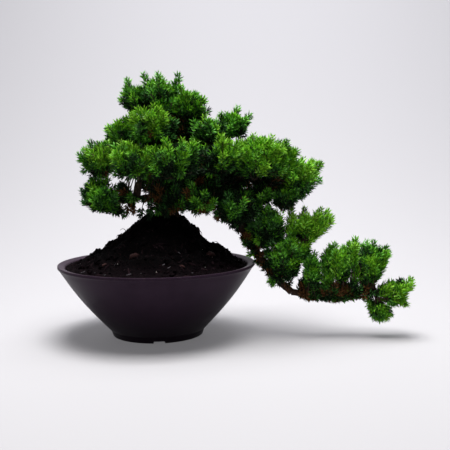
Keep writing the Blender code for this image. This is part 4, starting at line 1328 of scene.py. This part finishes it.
# a needle's green at its tip, with painted light, as a share of its full green
TIP_SHADE = 1.4
GLOW_RANGE = (0.08, 1.55)  # how far from the root's painted shade to the tip's painted light the whorls' needles get
WEATHER_SHADE = 0.6
BAND_HIGHLIGHT_COLOUR = (0.48, 0.68, 0.42)
# Share of the whorls whose needles show their pale bands, which also serve as painted highlights, for each
# green
BAND_HIGHLIGHT_SHARES = {"young": 0.05, "fresh": 0.08, "green": 0.15, "deep": 0.25, "shade": 0.1, "dry": 0.02}
BAND_HIGHLIGHT_STRENGTH = 0.16
# Each green's colour; shade is a near-black green of painted shade, dry a withered brown
NEEDLE_COLOURS = {
    "young": (0.195, 0.440, 0.026),
    "fresh": (0.142, 0.390, 0.015),
    "green": (0.090, 0.320, 0.020),
    "deep": (0.035, 0.132, 0.022),
    "shade": (0.0085, 0.022, 0.0085),
    "dry": (0.125, 0.056, 0.018),
}


def needle_whorl():
    """Three closed needles round a shoot that grows along +Z, as four-faced slivers."""
    vertices, faces, lengthways = [], [], []
    for turn in turns_round(NEEDLES_IN_WHORL):
        outward, flat = level_way(turn), Vector((-math.sin(turn), math.cos(turn), 0))
        aim = UP * math.cos(NEEDLE_LEAN) + outward * math.sin(NEEDLE_LEAN)
        back = (outward - aim * outward.dot(aim)).normalized()
        root, half = outward * AXIS_RADIUS * 0.5, flat * NEEDLE_WIDTH / 2
        broadest = root + aim * NEEDLE_LENGTH * NEEDLE_BROADEST + back * NEEDLE_LENGTH * NEEDLE_BOW
        start = len(vertices)
        vertices += [root, broadest + half, broadest - half, root + aim * NEEDLE_LENGTH]
        lengthways += [0.0, NEEDLE_BROADEST, NEEDLE_BROADEST, 1.0]
        faces += [tuple(start + n for n in side) for side in ((0, 1, 2), (3, 2, 1), (0, 3, 1), (0, 2, 3))]
    whorl = mesh_piece("whorl", vertices, faces)
    whorl.data.shade_flat()
    inner = [0.0, 0.0, 1.0, 1.0] * NEEDLES_IN_WHORL
    for name, domain, values in (("lengthways", "POINT", lengthways), ("inner", "FACE", inner)):
        whorl.data.attributes.new(name, "FLOAT", domain).data.foreach_set("value", values)
    return whorl


def needle_tree():
    """Whorls of needles along curves, turned on by a spin each, and closed up at the tip."""
    made, given = new_growth(
        "needles_on_shoots", Shoots="Geometry", Whorl="Object", Material="Material", Spacing="Float",
        Closed_Tip="Float", Whorl_Spin="Float", Seed="Int",
    )  # fmt: skip
    lengths = {"mode": "LENGTH"}
    points = add(made, "GeometryNodeResampleCurve", lengths, Curve=given["Shoots"], Length=given["Spacing"])
    tangent = made.nodes.new("GeometryNodeInputTangent").outputs[0]
    upright = add(made, "FunctionNodeAlignRotationToVector", {"axis": "Z"}, Vector=tangent).outputs[0]
    along = made.nodes.new("GeometryNodeSplineParameter").outputs
    spin = combine(made, "MULTIPLY", along["Index"], given["Whorl Spin"])
    spin = combine(made, "ADD", spin, random_value(made, -SPIN_SHAKE, SPIN_SHAKE, given["Seed"]))
    twist = add(made, "FunctionNodeAxisAngleToRotation", Axis=UP, Angle=spin)
    size = random_value(made, *WHORL_SIZES, given["Seed"])
    closed = share_of(made, along["Factor"], CLOSING_FROM, 1, To_Min=1, To_Max=given["Closed Tip"])
    wide = combine(made, "MULTIPLY", size, closed)
    shorter = share_of(made, along["Factor"], SHORTER_FROM, 1, To_Min=1, To_Max=SHORT_TIP)
    tall = combine(made, "MULTIPLY", size, shorter)
    scale = add(made, "ShaderNodeCombineXYZ", X=wide, Y=wide, Z=tall).outputs[0]
    glowing = add(
        made, "GeometryNodeStoreNamedAttribute", {"data_type": "FLOAT", "domain": "INSTANCE"},
        Geometry=copies_on(made, points.outputs[0], given["Whorl"], upright, twist, scale),
        Name="glow", Value=random_value(made, 0.0, 1.0, given["Seed"]),
    )  # fmt: skip
    return make_real(made, glowing.outputs[0], given["Material"])


def needle_material(tone, colour):
    """Waxy green, with painted shade at a needle's root and painted light at its tip, and a pale band on
    its inner face that also serves as a painted highlight.
    """
    made, tree, shader, place = new_material("needles_" + tone, 0.5, 0.07)
    along, glow, inner = (
        add(tree, "ShaderNodeAttribute", {"attribute_name": name}).outputs["Fac"]
        for name in ("lengthways", "glow", "inner")
    )
    # Painted shade at each needle's root and painted light at its tip
    light = tuple(c * TIP_SHADE + 0.004 for c in colour)
    painted_light_reach = share_of(tree, glow, 0, 1, To_Min=GLOW_RANGE[0], To_Max=GLOW_RANGE[1])
    share = combine(tree, "MULTIPLY", along, painted_light_reach)
    green = ramp(tree, share, (0.0, shaded(colour, ROOT_SHADE)), (0.45, colour), (1.0, light))
    mottle = ramp(tree, cloud(tree, place, 60, detail=2), (0.3, 0.0), (0.7, 0.5))
    weathered = blend(tree, mottle, green, shaded(colour, WEATHER_SHADE))
    # Pale waxy bands on a few inner faces, which also serve as painted highlights
    rare = BAND_HIGHLIGHT_SHARES[tone]
    band_and_highlight = share_of(tree, glow, 1 - rare * 1.5, 1 - rare * 0.5, To_Max=BAND_HIGHLIGHT_STRENGTH)
    pale = tuple(c * 0.8 + b * max(colour) * 2 for c, b in zip(colour, BAND_HIGHLIGHT_COLOUR))
    paint(tree, shader, blend(tree, combine(tree, "MULTIPLY", inner, band_and_highlight), weathered, pale))
    tree.links.new(ramp(tree, cloud(tree, place, 500), (0.3, 0.42), (0.7, 0.6)), shader.inputs["Roughness"])
    return made


def shoot_curve(name, paths):
    """A curve object of one open spline for each shoot."""
    curve = bpy.data.curves.new(name, "CURVE")
    curve.dimensions = "3D"
    for path in paths:
        spline = curve.splines.new("POLY")
        spline.points.add(len(path) - 1)
        spline.points.foreach_set("co", [value for p in path for value in (*p, 1)])
    return in_scene(name, curve)


def batches(paths):
    """Shoots dealt in order into batches that stay under a piece's number of triangles."""
    batch, used = [], 0
    for path in paths:
        cost = (length_of(path) / WHORL_SPACING + 1.5) * NEEDLES_IN_WHORL * NEEDLE_FACES
        if used + cost > PIECE_TRIANGLES:
            yield batch
            batch, used = [], 0
        batch.append(path)
        used += cost
    if batch:
        yield batch


whorl = needle_whorl()
needle_growth = needle_tree()
foliage_nodes = ["foliage_" + name for name in MASSES]
for tone, colour in NEEDLE_COLOURS.items():
    green = needle_material(tone, colour)
    values = (whorl, green, WHORL_SPACING, CLOSED_TIP, WHORL_SPIN, NEEDLE_SEED)
    for number, batch in enumerate(batches(shoots[tone])):
        source = shoot_curve("shoots", batch)
        piece = in_scene(f"needles_{tone}_{number}", grown_mesh(source, needle_growth, *values))
        bpy.data.objects.remove(source)
        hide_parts(*foliage_nodes)
        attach(piece, "root")
bpy.data.objects.remove(whorl)

# Studio
# A pale paper sweep that the pot stands on, a wide soft light above the plant, a weak one from
# the front, one on the paper behind, and the camera at the photograph's place.
FLOOR_HALF = 3.0
SWEEP_START = 0.2
SWEEP_RADIUS = 2.4
SWEEP_HEIGHT = 3.0
PAPER = (0.280, 0.276, 0.289)
PAPER_GLOW = 0.12
FLOOR_END = 0.15
FLOOR_STEPS = 60
SWEEP_STEPS = 90
AIR_COLOUR = (0.86, 0.86, 0.90)
AIR_POWER = 0.15
FRAME_PIXELS = 450
FOCAL_PIXELS = 767.7
SENSOR_WIDTH = 36
CAMERA_DISTANCE = 0.9
CAMERA_PITCH = math.radians(5.62)
CAMERA_ROLL = math.radians(0.59)
CAMERA_AIM = Vector((0.0805, 0, 0.1277))

profile = [(y, 0) for y in steps(-FLOOR_HALF, FLOOR_END, FLOOR_STEPS)]
for t in steps(0, math.pi / 2, SWEEP_STEPS):
    profile.append((SWEEP_START + SWEEP_RADIUS * math.sin(t), SWEEP_RADIUS * (1 - math.cos(t))))
profile.append((SWEEP_START + SWEEP_RADIUS, SWEEP_HEIGHT))
sweep_points = [Vector((x, y, z)) for y, z in profile for x in (-FLOOR_HALF, FLOOR_HALF)]
sweep_faces = [(2 * k, 2 * k + 1, 2 * k + 3, 2 * k + 2) for k in range(len(profile) - 1)]
sweep = mesh_piece("paper_sweep", sweep_points, sweep_faces)
paper, tree, shader, _ = new_material("paper", 0.75)
paint(tree, shader, PAPER)
connect(tree, PAPER, shader.inputs["Emission Color"])
shader.inputs["Emission Strength"].default_value = PAPER_GLOW / PAPER[0]
sweep.data.materials.append(paper)


def soft_light(name, at, aim, size, power, colour):
    """A square area light that points at a place."""
    data = bpy.data.lights.new(name, "AREA")
    data.size = size
    data.energy = power
    data.color = colour
    lamp = in_scene(name, data)
    lamp.location = at
    lamp.rotation_euler = (Vector(aim) - Vector(at)).to_track_quat("-Z", "Y").to_euler()


soft_light("top_light", (0.08, -0.07, 1.25), (0.08, 0.02, 0.1), 0.7, 33.5, (1.0, 0.99, 0.97))
soft_light("front_light", (-0.9, -1.6, 0.9), (0.05, 0, 0.12), 1.0, 3.0, (1.0, 0.98, 0.97))
soft_light("sweep_light", (0.2, 0.9, 2.3), (0.2, 2.1, 0.8), 1.6, 82, (0.98, 0.98, 1.0))
world = bpy.data.worlds.new("studio")
world.use_nodes = True
air = world.node_tree.nodes["Background"].inputs
air["Color"].default_value = (*AIR_COLOUR, 1)
air["Strength"].default_value = AIR_POWER
bpy.context.scene.world = world
bpy.context.scene.view_settings.view_transform = "Standard"

back = Vector((0, -math.cos(CAMERA_PITCH), math.sin(CAMERA_PITCH)))
camera = in_scene("camera", bpy.data.cameras.new("camera"))
camera.data.sensor_width = SENSOR_WIDTH
camera.data.lens = SENSOR_WIDTH * FOCAL_PIXELS / FRAME_PIXELS
camera.location = CAMERA_AIM + back * CAMERA_DISTANCE
camera.rotation_euler = (back.to_track_quat("Z", "Y") @ Quaternion(UP, -CAMERA_ROLL)).to_euler()
bpy.context.scene.camera = camera
